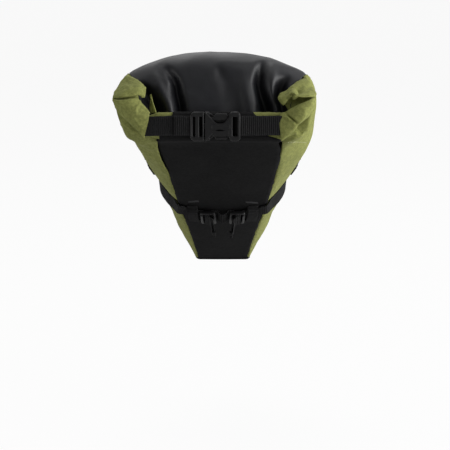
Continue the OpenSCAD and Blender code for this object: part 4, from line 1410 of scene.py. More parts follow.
@dataclass(frozen=True)
class SideReleaseBuckle:
    """A socket, a plug with its tongue and two squeeze arms, set at one place of the frame."""

    name: str
    place: Array
    socket_body: str
    plug_body: str
    arms: tuple[tuple[str, int], ...]
    nodes: tuple[str, str]
    sizes: BuckleSizes = BuckleSizes()

    def _piece(self, name: str, plates: Sequence[Plate], body: str, node: str) -> None:
        """Makes one moulded piece of several plates."""
        parts = MeshParts()
        for plate in plates:
            plate.add_to(parts, self.place)
        parts.make(f"{self.name}_{name}", PLASTIC, node, body=body)

    def _socket_outline(self, depth: float, reach: Flat) -> list[Flat]:
        """Outline of the socket with a thumb cut-out in both long edges.

        Args:
            depth: Depth of the cut-outs.
            reach: Where they start and end along the buckle.

        Returns:
            The outline's points.
        """
        h, long = self.sizes.half, self.sizes.socket_l
        low, high = reach
        cut = [(low, h), (low + 0.8, h - 0.9), (low + 7.0, h - depth + 1.2), (low + 9.2, h - depth),
               (high - 8.0, h - depth), (high - 6.0, h - depth + 1.0), (high - 0.9, h - 1.4), (high, h)]
        upper = [(0.5, h - 0.6), (1.1, h), *cut, (long - 2.4, h), (long - 0.9, h - 0.8), (long, h - 2.4)]
        return [*upper, *[(x, -y) for x, y in reversed(upper)]]

    def socket(self) -> None:
        """Makes the socket: two faces with thumb cut-outs, joined at the mouth and the web bar."""
        s = self.sizes
        h, t, long = s.half, s.thick, s.socket_l
        slot = box_outline(s.slot, (-s.web_half, s.web_half), 0.8)
        frame = [box_outline((6.4, 19.8), (-1.5, 1.2), 0.6)]
        plates = [
            Plate(self._socket_outline(9.2, (1.4, 22.4)), t - s.wall, t, [slot], 0.7),
            Plate(self._socket_outline(7.0, (3.6, 21.8)), 0.0, s.wall, [slot], 0.6),
            Plate.box((20.2, long - 0.15), (-h + 0.25, h - 0.25), (0.3, t - 0.4), 2.0, 0.8, [slot]),
            *[Plate.box((0.1, 4.2), (y - 1.15, y + 1.15), (0.3, t - 0.4), 0.5) for y in (-h + 1.6, h - 1.6)],
            Plate.box((6.6, 19.8), (-7.0, -3.4), (t - 0.25, t + 0.18), 0.8, 0.15),
            Plate.box((5.6, 20.6), (-2.2, 1.9), (t - 0.3, t + 0.22), 1.0, 0.2, frame),
            Plate.box((26.75, long), (-h + 1.2, h - 1.2), (0.9, t - 0.5), 0.9, 0.9),
        ]
        self._piece("socket", plates, self.socket_body, self.nodes[0])

    def plug(self) -> None:
        """Makes the plug: a frame with two web slots, and the tongue between the arms."""
        s = self.sizes
        h, left, wide = s.half, -s.plug_l, (-s.web_half - 0.2, s.web_half + 0.2)
        outline = [(-0.35, -h), (-0.35, h), (left + 2.8, h), (left + 0.7, h - 1.6), (left, h - 3.6),
                   (left, -h + 3.6), (left + 0.7, -h + 1.6), (left + 2.8, -h)]
        slots = [box_outline(x, wide, 0.7) for x in ((left + 1.9, left + 4.1), (-4.0, -1.5))]
        tongue = [(-0.8, -2.1), (13.6, -1.9), (15.0, -1.0), (15.0, 1.0), (13.6, 1.9), (-0.8, 2.1)]
        plates = [Plate(outline, 0.0, s.thick, slots, 0.9),
                  Plate.box((-1.4, -0.3), (-h, h), (0.2, s.thick + 0.25), 0.4, 0.4), Plate(tongue, 1.9, 5.1)]
        self._piece("plug", plates, self.plug_body, self.nodes[1])

    def arm(self, node: str, side: int) -> None:
        """Makes one squeeze arm with its finger pad.

        Args:
            node: Its CAD node, which is also its body.
            side: Side of the buckle it is on.
        """
        blade = ((0.7, 4.8), (17.8, 4.9), (18.8, 5.9), (19.0, 7.4), (18.2, 10.0), (9.4, 10.0), (7.4, 7.3),
                 (0.7, 7.2))
        pad = ((9.0, 8.6), (18.4, 8.6), (18.3, 10.0), (17.2, 10.25), (10.2, 10.25), (9.0, 10.0))
        shapes = [(blade, 1.9, 0.5), (pad, 1.3, 0.5)]
        shapes += [(((x, 9.9), (x + 0.7, 9.9), (x + 0.7, 10.45), (x, 10.45)), 1.6, 0.2)
                   for x in (10.6, 12.4, 14.2, 16.0)]
        plates = [Plate([(x, side * y) for x, y in shape], low, self.sizes.thick - low, (), rounding)
                  for shape, low, rounding in shapes]
        self._piece(f"arm_{'upper' if side > 0 else 'lower'}", plates, node, node)

    def build(self) -> None:
        """Makes all the pieces."""
        self.socket()
        self.plug()
        for node, side in self.arms:
            self.arm(node, side)


@dataclass(frozen=True)
class Closure:
    """Buckled strap across the rolled mouth."""

    back_y: float = -216.8
    middle_z: float = 111.0
    mouth_x: float = -14.6
    left_end: float = -63.0
    right_end: float = 53.0
    web_y: float = -219.6
    web_w: float = 15.8
    web_z: float = 111.5
    sizes: BuckleSizes = BuckleSizes()

    def _strap(self, *stops: Place) -> Ribbon:
        """Webbing on the roll through stops: x, and how far its back lies off web_y and off its height."""
        path = [(x, self.web_y + y, self.web_z + z) for x, y, z in stops]
        return Ribbon(path, vec(0, 0, 1), vec(0, -1, 0), self.web_w).finer(6)

    def build(self) -> None:
        """Makes the buckle and both webbings."""
        place = upright(vec(self.mouth_x, self.back_y, self.middle_z))
        SideReleaseBuckle("closing_buckle", place, Body.ROLL.value, Body.CLOSURE_PLUG.value,
                          (("closure_prong_upper", 1), ("closure_prong_lower", -1)),
                          ("closure_buckle_socket", "closure_buckle_plug")).build()
        bar = self.mouth_x - self.sizes.plug_l
        parts = self._strap((self.left_end, 1.4, -0.7), (-58, 0.9, -0.6), (-50, 0.2, -0.3), (-42, 0, 0),
                            (-34, 0, 0.1), (bar + 1.4, 0, 0), (bar + 4.6, -0.4, 0)).solid(0.25, 1.0)
        self._strap((-38.5, -1.5, 0.15), (-37, -1.65, 0.1), (-33, -1.7, 0.1), (-29, -1.7, 0),
                    (bar - 0.6, -1.6, 0), (bar + 1.6, -1.3, 0)).solid(0.2, 4.0, parts)
        piece = parts.make("closure_strap_left", WEBBING, "closure_webbing_left", body=None)
        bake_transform(piece)
        bar = self.mouth_x + self.sizes.slot[1]
        parts = self._strap((bar - 1.8, 1.0, 0), (bar + 0.4, -1.2, 0), (bar + 2.6, -1.6, 0), (20, -0.5, 0),
                            (30, 0, 0), (40, 0.2, 0.1), (47, 0.8, -0.1),
                            (self.right_end, 1.6, -0.4)).solid(0.3, 2.0)
        parts.make("closure_strap_right", WEBBING, "closure_webbing_right", body=Body.ROLL.value)


@dataclass(frozen=True)
class LowerStrap:
    """Compression strap sewn into the nose seams, with keepers, ladder locks, light loop and tails.

    A seam stop is a height share up the gusset. A base stop is an x, a way up the base and a height off it.
    """

    form: BagForm = BagForm()
    station: float = 3.66
    slant: float = 0.22
    lock_reach: float = 12.5
    keeper_reach: float = 25.5
    lift: float = 1.0
    web_t: float = 1.4
    lock_lift: float = 1.7
    lock_l: float = 13.0
    lock_w: float = 18.6
    lock_t: float = 3.4
    lock_slot: float = 2.8
    web_w: float = 15.0
    keeper_w: float = 9.4
    tail_w: float = 14.6
    tip_w: float = 14.4
    thin: float = 1.3
    arch: float = 4.0
    seam_stops: tuple[float, ...] = (0.985, 0.93, 0.84, 0.74, 0.64, 0.54, 0.44, 0.34, 0.24, 0.14, 0.06)

    @property
    def half(self) -> float:
        """Half width of the base panel under the strap."""
        return float(self.form.station(self.station)[4])

    @property
    def bar(self) -> float:
        """Width of each bar of a ladder lock."""
        return (self.lock_l - 2 * self.lock_slot) / 3

    @property
    def slot_reach(self) -> float:
        """Way from the middle of a ladder lock to the middle of a slot."""
        return (self.bar + self.lock_slot) / 2

    def base_spot(self, x: float) -> Spot:
        """Place on the base panel, x from the middle, with its along direction up the panel."""
        spot = self.form.spot(Panel.BASE, self.station, x / (self.half + self.lift), self.lift)
        along = unit(spot.along - spot.out * np.dot(spot.along, spot.out))
        return Spot(spot.point, np.cross(along, spot.out), along, spot.out)

    def stop(self, a: float | Array) -> float | Array:
        """Station of the strap's middle line at a height share of the gusset."""
        return self.station + self.slant * (1 - a) ** 2

    def _strap(self, panel: Panel) -> MeshParts:
        """Webbing of one side, from the nose seam to its ladder lock."""
        side = panel.outward
        slot = self.lock_reach + self.slot_reach
        out_x = vec(side, 0, 0)
        stops = []
        for a in self.seam_stops:
            spot = self.form.spot(panel, self.stop(a), a, self.lift * 0.8 - SideGusset.pinch)
            lean = 0.3 * bump_shape((a - 0.2) / 0.55)
            out = unit(spot.out + spot.along * lean)
            wide = unit(np.cross(out, np.cross(spot.along, spot.out)))
            stops.append((spot.point + spot.out * 3.6 * lean, wide, out))
        base = self.base_spot(0)
        corner = self.form.spot(panel, self.stop(0), 0.0, self.lift)
        turn = unit(corner.out + base.out)
        stops.append((corner.point + turn * 0.4, base.along, turn))
        top = self.lock_lift + self.lock_t
        for x, up, z, out in ((self.half - 3, 4.8, 0.1, base.out),
                              (self.keeper_reach + 5, 1.7, 0.0, base.out),
                              (self.keeper_reach - 4, 0.0, 0.0, base.out), (slot + 2.4, 0.0, 0.2, base.out),
                              (slot + 0.2, 0.0, 1.4, base.out + out_x), (slot - 0.7, 0.0, top * 0.6, out_x),
                              (slot - 0.9, 0.0, top, base.out * 0.6 + out_x),
                              (slot - 2.0, 0.0, top + 0.5, base.out),
                              (slot - 3.4, 0.0, top + 0.2, base.out - out_x * 0.4)):
            stops.append((self.base_spot(side * x).at(0, up, z), base.along, unit(out)))
        return Ribbon.through(stops).finer(5).solid(0.25, 3.0 * side)

    def _keeper(self, side: int) -> MeshParts:
        """Folded webbing band over the strap, its ends lying flat on the base above and below it."""
        place = self.base_spot(side * self.keeper_reach)
        high = 2 * self.web_t + 0.6
        band = [(-7.9, high - 1.0), (-6, high - 0.25), (0, high - 0.1), (6, high - 0.25), (7.9, high - 1.0)]
        path = [(-13.4, -0.8), (-11.2, -0.75), (-9.6, -0.2), (-8.6, 0.9), *band, (8.6, 0.9), (9.4, -0.2),
                (10.8, -0.75), (13.0, -0.8)]
        points = np.array([place.at(0, y, z) for y, z in path])
        outs = unit(np.cross(unit(np.gradient(points, axis=0)), place.across))
        outs = outs * np.sign(outs @ place.out)[:, None]
        return Ribbon(points, place.across, outs, self.keeper_w, self.thin).finer(4).solid(0.15, 6.0 + side)

    def _lock(self, side: int) -> MeshParts:
        """Moulded ladder lock with a lifted thumb edge."""
        spot = self.base_spot(side * self.lock_reach)
        frame = axes(spot.across, spot.along, spot.out, spot.at(0, 0, self.lock_lift))
        t, slot, bar = self.lock_t, self.lock_slot / 2, self.bar / 2
        reach, long, wide = self.slot_reach, self.lock_l / 2, self.lock_w / 2
        holes = [box_outline((x - slot, x + slot), (-7.9, 7.9), 0.7) for x in (-reach, reach)]
        outline = box_outline((-long, long), (-wide, wide), 1.6, 4)
        edge = side * (long - 1.2)
        parts = MeshParts()
        for plate in (Plate(outline, 0, t, holes, 0.8),
                      Plate.box((-bar, bar), (-8.2, 8.2), (0.4, t + 0.5), 0.6),
                      Plate.box((edge - 1.1, edge + 1.1), (-7.0, 7.0), (t - 0.6, t + 0.9), 0.8, 0.7)):
            plate.add_to(parts, frame)
        return parts

    def _light_loop(self) -> MeshParts:
        """Arched webbing between the locks, threaded round their inner bars."""
        base = self.base_spot(0)
        slot = self.lock_reach - self.slot_reach
        arch_x = self.lock_reach - self.lock_l / 2 - 1.5
        foot = [(slot + 0.9, self.lock_lift + 2.4, 1.0), (slot + 0.6, 0.9, 0.9), (slot - 1.0, -0.3, 0.25)]
        rows = [(-x, z, base.out * (1 - lean) + vec(lean, 0, 0)) for x, z, lean in foot]
        rows += [(k * arch_x, self.arch * (1 - k * k), base.out + vec(self.arch * k / arch_x, 0, 0))
                 for k in np.linspace(-1, 1, 9)]
        rows += [(x, z, base.out * (1 - lean) - vec(lean, 0, 0)) for x, z, lean in reversed(foot)]
        stops = [(base.at(x, 0, z), base.along, unit(out)) for x, z, out in rows]
        return Ribbon.through(stops, self.web_w, self.thin).finer(4).solid(0.2, 8.0)

    def _tail(self, side: int) -> MeshParts:
        """Free end of a strap: out of the lock, over and down, hanging edge-on, its tip folded double."""
        start = self.base_spot(side * self.lock_reach).at(0, 0, self.lock_lift + self.lock_t + 0.4)
        base = self.base_spot(0)
        out, along = base.out, base.along
        down, back, inward = vec(0, 0, -1), vec(0, -1, 0), vec(-side, 0, 0)
        shift = [(0.6, 0.0, 0.0), (-1.2, 1.2, 0.2), (-2.6, 3.2, 1.6), (-3.5, 5.2, 3.6), (-3.9, 6.1, 5.6),
                 (-4.0, 6.4, 7.6), (-3.8, 6.5, 9.4)]
        path = np.array([start - inward * x + out * o + down * d for x, o, d in shift])
        turn = [along * 0.8 - back * 0.3, along * 0.3 - back * 0.8]
        widths = unit(np.array([along, along, *turn, *[-back] * 3]))
        outs = unit(np.array([out, out + inward * 0.3, out * 0.5 + inward, *[inward] * 4]))
        parts = Ribbon(path, widths, outs, self.tail_w, self.thin).finer(5).solid(0.2, 5.0 * side)
        tip = Ribbon(path[4:] + outs[4:] * 1.35, widths[4:], outs[4:], self.tip_w, 1.2)
        return tip.finer(5).solid(0.1, 7.0 * side, parts)

    def build(self) -> None:
        """Makes all the pieces of the strap."""
        for panel in SIDES:
            word, side = panel.word, panel.outward
            self._strap(panel).make(f"side_strap_{word}", WEBBING, f"compression_strap_{word}")
            self._keeper(side).make(f"keeper_{word}", WEBBING, f"strap_keeper_{word}")
            piece = self._tail(side).make(f"tail_{word}", WEBBING, f"strap_tail_{word}", body=None)
            top = self.base_spot(side * self.lock_reach).at(0, 0, self.lock_lift + self.lock_t)
            hang = top + vec(-side * 3.0, -4.0, -6.0)
            tuple(hang * MM)
            tuple(top * MM)
            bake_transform(piece)
            self._lock(side).make(f"lock_{word}", PLASTIC, f"ladder_lock_{word}", body=f"ladder_lock_{word}")
        self._light_loop().make("lamp_loop", WEBBING, "light_loop")


@dataclass(frozen=True)
class RailStraps:
    """Two straps that go over the saddle's rails, each with a side-release buckle on the gusset."""

    form: BagForm = BagForm()
    rail_x: float = 22.0
    rail_y: float = -84.0
    rail_z: float = 126.0
    loop_r: float = 3.6
    web_t: float = 1.4
    middle: float = 0.87
    slant: float = 0.8
    station: float = 4.9
    loop_station: float = 5.0
    seam_half: float = 6.2
    sizes: BuckleSizes = BuckleSizes()

    @property
    def mid(self) -> float:
        """Height of the webbing's underside in the middle of a buckle."""
        return self.sizes.thick / 2 - self.web_t / 2

    def _spot(self, panel: Panel, a: float, lift: float) -> Spot:
        """Place on the strap's middle line, a height share up the gusset."""
        return self.form.spot(panel, self.station - (1 - a) * self.slant, a, lift)

    def buckle_place(self, panel: Panel) -> Array:
        """The buckle's axes: x down the strap, z out of the gusset."""
        spot, up, down = (self._spot(panel, self.middle + step, 1.0) for step in (0, 0.1, -0.1))
        way = down.point - up.point
        x = unit(way - spot.out * np.dot(way, spot.out))
        origin = spot.point + spot.out * 1.5 - x * (self.sizes.socket_l - self.sizes.plug_l) / 2
        return axes(x, np.cross(spot.out, x), spot.out, origin)

    def _loop(self, side: int) -> MeshParts:
        """Webbing ring round a rail, with its two layers sewn into the top panel."""
        centre = vec(side * self.rail_x, self.rail_y, self.rail_z)
        foot_z = self.form.point(Panel.TOP, self.loop_station, side * 0.42)[2] - 0.4
        feet = (foot_z - self.rail_z, -self.loop_r - 4.5)
        rows = [(vec(0.75, 0, z), vec(1, 0, 0)) for z in feet]
        rows += [(vec(x, 0, z) * self.loop_r, vec(x, 0, z)) for x, z in turned(-62, 242, 17)]
        rows += [(vec(-0.75, 0, z), vec(-1, 0, 0)) for z in reversed(feet)]
        return Ribbon.through([(centre + at, vec(0, 1, 0), out) for at, out in rows]).finer(3).solid()

    def _strap(self, side: int, place: Array) -> MeshParts:
        """Webbing from the rail loop over the shoulder of the bag to the plug."""
        x, y, z, origin = place[:3].T
        plug_l, wide, y = self.sizes.plug_l, vec(0, 1, 0), side * y
        start = vec(side * (self.rail_x + 5.3), self.rail_y, self.rail_z - 1.2)
        enter = origin - x * (plug_l + 5) + z * self.mid
        stops = [(start, wide, unit(vec(side * 0.15, 0, 1)))]
        for share, rise, lean in ((0.28, 0.9, 0.2), (0.55, 1.5, 0.3)):
            turn = 0.2 if share < 0.5 else 0.4
            stops.append((start * (1 - share) + enter * share + vec(0, 0, rise),
                          unit(wide * (1 - turn) + y * turn), unit(vec(side * lean, 0, 1))))
        stops += [(origin + x * (reach - plug_l) + z * self.mid, y, z) for reach in (-5, 1.0, 2.6)]
        strap = Ribbon.through(stops).finer(6)
        parts = strap.solid(0.25, 2.0 + side)
        return strap.doubled(slice(-15, -2), 1.55).solid(0.15, 5.0, parts)

    def _anchor(self, panel: Panel, place: Array) -> MeshParts:
        """Webbing from the socket to its sewn end on the gusset."""
        side, s = panel.outward, self.sizes
        x, y, z, origin = place[:3].T
        start, end, long = *s.slot, s.socket_l
        stops = [(origin + x * along + z * (self.mid + rise), side * y, z) for along, rise in
                 ((start + 0.6, -1.2), (end - 0.4, 0.9), (long + 0.6, 1.3), (long + 3.4, 0.2))]
        spots = [self._spot(panel, a, 0.7) for a in (0.5, 0.45, 0.4, 0.35)]
        strap = Ribbon.through([*stops, *[(spot.point, -spot.along, spot.out) for spot in spots]]).finer(5)
        return strap.doubled(slice(14, 26), 1.3).solid(0.1, 9.0, strap.solid(0.2, 4.0 + side))

    def _stitches(self, panel: Panel) -> MeshParts:
        """Box of stitches with a cross in it, over the sewn end of the anchor."""
        parts, thread, half = MeshParts(), Thread(), self.seam_half
        spots = [self._spot(panel, a, 0.8 + self.web_t) for a in (0.48, 0.44, 0.4, 0.36)]
        first, final = spots[0], spots[-1]
        for edge in (-half, half):
            thread.row(parts, np.array([s.at(0, edge, 0) for s in spots]), np.array([s.out for s in spots]))
        for spot in (first, final):
            thread.row(parts, np.array([spot.at(0, t, 0) for t in np.linspace(-half, half, 5)]), spot.out)
        for edge in (-half, half):
            thread.row(parts, np.linspace(first.at(0, edge, 0), final.at(0, -edge, 0), 6), spots[1].out)
        return parts

    def build(self) -> None:
        """Makes both straps, their buckles and their stitches."""
        for panel in SIDES:
            word, side, place = panel.word, panel.outward, self.buckle_place(panel)
            self._loop(side).make(f"rail_ring_{word}", WEBBING, f"rail_loop_{word}")
            strap = self._strap(side, place)
            strap = strap.make(f"rail_web_{word}", WEBBING, f"rail_strap_{word}", body=None)
            end = place @ vec(-self.sizes.plug_l + 1.0, 0, 3, 1.0)
            start = vec(side * (self.rail_x + 8), self.rail_y, self.rail_z - 1.2)
            tuple(end[:3] * MM)
            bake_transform(strap)
            self._anchor(panel, place).make(f"rail_foot_{word}", WEBBING, f"rail_anchor_{word}")
            arms = ((f"rail_prong_{word}_rear", -side), (f"rail_prong_{word}_front", side))
            SideReleaseBuckle(f"rail_buckle_{word}", place, Body.BAG.value, f"rail_plug_{word}", arms,
                              (f"rail_buckle_socket_{word}", f"rail_buckle_plug_{word}")).build()
            self._stitches(panel).make(f"rail_foot_stitches_{word}", BLACK_THREAD)


@dataclass(frozen=True)
class PostStrap:
    """Hook-and-loop strap round the seatpost, the short loop for its ring and the grip pad, drawn upright and
    leant back.
    """

    lean: float = math.radians(17.0)
    inner: float = 15.8
    thick: float = 2.0
    nose: float = -19.8
    turn_y: float = -4.3
    tab_in: float = 21.4
    width: float = 25.0
    pad_low: float = -23.2
    pad_high: float = 44.0
    pad_half: float = 14.0

    @property
    def leant(self) -> Array:
        """Matrix of the post's own axes."""
        c, s = math.cos(self.lean), math.sin(self.lean)
        return np.array([(1, 0, 0), (0, c, -s), (0, s, c)])

    def _band(self, plan: Sequence[Flat], outs: Sequence[Flat], thick: float) -> MeshParts:
        """A band whose underside follows a plan in x and y."""
        path, out = (np.array([(x, y, 0.0) for x, y in flat]) @ self.leant.T for flat in (plan, outs))
        return Ribbon(path, self.leant @ vec(0, 0, 1), unit(out), self.width, thick).finer(4).solid(0.12, 3.0)

    def build(self) -> None:
        """Makes the strap, its short loop, the tab and the pad."""
        r, t, turn_y, reach = self.inner, self.thick, self.turn_y, self.tab_in
        turn = turned(0, 180, 15)
        plan = [(r, self.nose + 0.3), (r, -12), (r, -5), *[(r * x, r * y) for x, y in turn], (-r, -2.2),
                (-r - 0.6, turn_y - 1.0), (-r - 2.6, turn_y - 1.6), (-reach + 0.4, turn_y - 1.2)]
        outs = [*[(1, 0)] * 3, *turn, (-1, 0), (-0.8, 0.6), (-0.1, 1), (0.5, 1)]
        self._band(plan, outs, t - 0.2).make("post_strap", WEBBING, "seatpost_strap")
        y = -9.7
        low, far = self.nose + 0.4, -reach - 0.2
        plan = [(-r - 0.2, low), (-r - 0.1, -14), (-r - 0.3, y - 0.6), (-r - 1.6, y + 0.1), (-reach + 0.8, y),
                (far, y - 1.2), (far, -14), (far, low)]
        outs = [(-1, 0), (-1, 0), (-0.9, 0.4), (-0.2, 1), (-0.2, 1), (-1, 0.3), (-1, 0), (-1, 0)]
        self._band(plan, outs, t - 0.3).make("ring_loop", WEBBING, "seatpost_strap_loop")
        r = reach + 0.3
        turn = turned(180, 78, 12)
        plan = [(-r, turn_y - 1.8), (-r, -3.0), *[(r * x, r * y) for x, y in turn]]
        tab = self._band(plan, [(-1, 0), (-1, 0), *turn], t - 0.4)
        tab.make("strap_end_tab", WEBBING, "seatpost_strap_tab", body=Body.STRAP_TAB.value)
        self._pad()

    def _pad(self) -> None:
        """Makes the ribbed grip pad with its hollow face for the post."""
        c, z = np.meshgrid(np.linspace(-1, 1, 33), np.linspace(self.pad_low + 0.6, self.pad_high - 0.6, 90))
        x = c * (self.pad_half - 0.3)
        end = np.maximum(bump_shape((abs(c) - 1) / 0.12), bump_shape((z - z[0]) / 2))
        end = np.maximum(end, bump_shape((z - z[-1]) / 2))
        groove = 0.5 * bump_shape(((z / 5.5) % 1 - 0.5) / 0.22)
        y = -np.sqrt(self.inner**2 - x * x) - groove - 0.7 * end - 0.1
        flat = np.full_like(x, self.nose + 0.35)
        front, back = (np.stack([x, face, z], -1) @ self.leant.T for face in (y, flat))
        grid = ClothGrid(front).facing(self.leant @ vec(0, 1, 0), 40, 16)
        pad = grid.solid(back).make("grip_pad", RUBBER, "seatpost_pad")


# ---- Camera, image points and studio ----


@dataclass(frozen=True)
class PhotoView:
    """The photograph's camera, in metres and degrees, and its frame in pixels."""

    place: Place = (0.002, -1.615, 0.2532)
    pitch_down: float = 9.05
    lens: float = 140.0
    sensor: float = 36.0
    width: int = 450
    height: int = 450

    def build(self) -> bpy.types.Object:
        """Makes the camera and gives it to the scene."""
        data = bpy.data.cameras.new("photo_view")
        data.sensor_fit = "AUTO"
        data.sensor_width = self.sensor
        data.lens = self.lens
        data.clip_start = 0.05
        camera = into_scene("photo_view", data)
        camera.location = self.place
        camera.rotation_euler = (math.radians(90 - self.pitch_down), 0, 0)
        bpy.context.scene.camera = camera
        bpy.context.view_layer.update()
        return camera

    def ray(self, camera: bpy.types.Object, x: float, y: float) -> tuple[Vector, Vector]:
        """Line of sight through an image point.

        Args:
            camera: The camera.
            x: Pixels from the left.
            y: Pixels from the top.

        Returns:
            Its start and direction in the frame.
        """
        data = camera.data
        long_side = max(self.width, self.height)
        way = Vector((x - self.width / 2 + data.shift_x * long_side,
                      self.height / 2 - y + data.shift_y * long_side,
                      -long_side * data.lens / data.sensor_width))
        turn = camera.matrix_world.to_3x3()
        return camera.matrix_world.translation.copy(), (turn @ way).normalized()

    def pixels(self, camera: bpy.types.Object, points: Array) -> Array:
        """Image places of points in metres."""
        data = camera.data
        long_side = max(self.width, self.height)
        inverse = np.array(camera.matrix_world.inverted())
        local = np.column_stack([points, np.ones(len(points))]) @ inverse.T
        scale = long_side * data.lens / data.sensor_width / -local[:, 2]
        return np.column_stack([self.width / 2 - data.shift_x * long_side + local[:, 0] * scale,
                                self.height / 2 + data.shift_y * long_side - local[:, 1] * scale])


IMAGE_POINTS: dict[str, Flat] = {
    "object_left": (112.0, 98.0),
    "object_right": (316.0, 100.0),
    "object_top": (215.0, 52.5),
    "object_bottom": (222.0, 257.5),
    "buckle_socket": (222.0, 127.0),
    "buckle_plug": (197.0, 127.0),
    "left_ear_tip": (127.0, 74.0),
    "right_ear_tip": (304.0, 76.0),
    "left_roll_end": (142.0, 138.0),
    "right_roll_end": (283.0, 141.0),
    "left_keeper": (193.5, 215.0),
    "right_keeper": (249.8, 215.0),
    "left_bar_tack": (193.5, 201.5),
    "right_bar_tack": (252.0, 202.5),
    "gusset_stitches": (296.0, 142.0),
}


def finished(piece: bpy.types.Object) -> tuple[Array, list[tuple[int, ...]]]:
    """Vertices of a piece as it stands at last, in metres, and its faces."""
    shown = piece.evaluated_get(bpy.context.evaluated_depsgraph_get())
    mesh = shown.to_mesh()
    world = np.array(shown.matrix_world)
    places = np.array([v.co for v in mesh.vertices]) @ world[:3, :3].T + world[:3, 3]
    faces = [tuple(face.vertices) for face in mesh.polygons]
    shown.to_mesh_clear()
    return places, faces


@dataclass
class Sight:
    """Finds where lines of sight meet finished pieces."""

    view: PhotoView
    camera: bpy.types.Object

    def pixels(self, places: Array) -> Array:
        """Image places of points in metres."""
        return self.view.pixels(self.camera, places)

    @staticmethod
    def tree(piece: bpy.types.Object) -> BVHTree:
        """Search tree of a piece as finished and placed."""
        places, faces = finished(piece)
        return BVHTree.FromPolygons(places.tolist(), faces)

    def meet(self, x: float, y: float, tree: BVHTree) -> tuple[Array, Array]:
        """Where a line of sight meets a surface, in millimetres, and the surface's normal there.

        Args:
            x: Pixels from the left.
            y: Pixels from the top.
            tree: The surface.

        Returns:
            The point and the normal; a miss takes the place nearest the ray.
        """
        start, way = self.view.ray(self.camera, x, y)
        point, normal, _, _ = tree.ray_cast(start, way)
        if point is None:
            steps = [start + way * (1.2 + 0.005 * k) for k in range(120)]
            point, normal, _, _ = tree.find_nearest(min(steps, key=lambda step: tree.find_nearest(step)[3]))
        if normal.dot(way) > 0:
            normal = -normal
        return np.array(point) / MM, np.array(normal)

    def line(self, stops: Sequence[Flat], tree: BVHTree) -> tuple[Array, Array]:
        """Points and normals of a line on a surface through image places."""
        points, normals = zip(*[self.meet(x, y, tree) for x, y in stops])
        return np.array(points), unit(np.array(normals))


@dataclass
class Sewing:
    """Stitches and bar tacks placed by image points on the finished cloth."""

    sight: Sight
    thread: Thread = Thread(1.3, 1.1, 0.36)

    def bar_tack(self, parts: MeshParts, tree: BVHTree, point: Flat, half: float, rise: float) -> None:
        """Dense zigzag of thread across an image point.

        Args:
            parts: Mesh parts to add to.
            tree: The cloth it is sewn on.
            point: Its middle in the image.
            half: Half its length in pixels.
            rise: How far it climbs from left to right, in pixels.
        """
        x, y = point
        count = int(half * 2.4)
        for k in range(-count, count + 1):
            at = k / count * half
            ends = [(x + at + 0.25 * end, y - at / half * rise + end) for end in (-1.0, 1.0)]
            line, out = self.sight.line(ends, tree)
            length = float(np.linalg.norm(line[1] - line[0]))
            Thread(length * 0.95, 0.0, 0.26).row(parts, np.linspace(line[0], line[1], 4), out[0])

    def build(self, base: bpy.types.Object, right: bpy.types.Object) -> None:
        """Sews the rows that the photograph shows on the rear of the bag.

        Args:
            base: The base panel.
            right: The right gusset.
        """
        cloth = self.sight.tree(base)
        parts = MeshParts()
        self.bar_tack(parts, cloth, IMAGE_POINTS["left_bar_tack"], 5.0, 0.4)
        self.bar_tack(parts, cloth, IMAGE_POINTS["right_bar_tack"], 6.0, -0.4)
        parts.make("keeper_tacks", BLACK_THREAD)
        x, y = IMAGE_POINTS["gusset_stitches"]
        parts = MeshParts()
        curve = [(x + d, y + 0.006 * d * d) for d in np.linspace(-9, 10, 12)]
        self.thread.row(parts, *self.sight.line(curve, self.sight.tree(right)))
        Shell().follow_roll(parts.make("gusset_stitches", GREEN_THREAD, body=None))


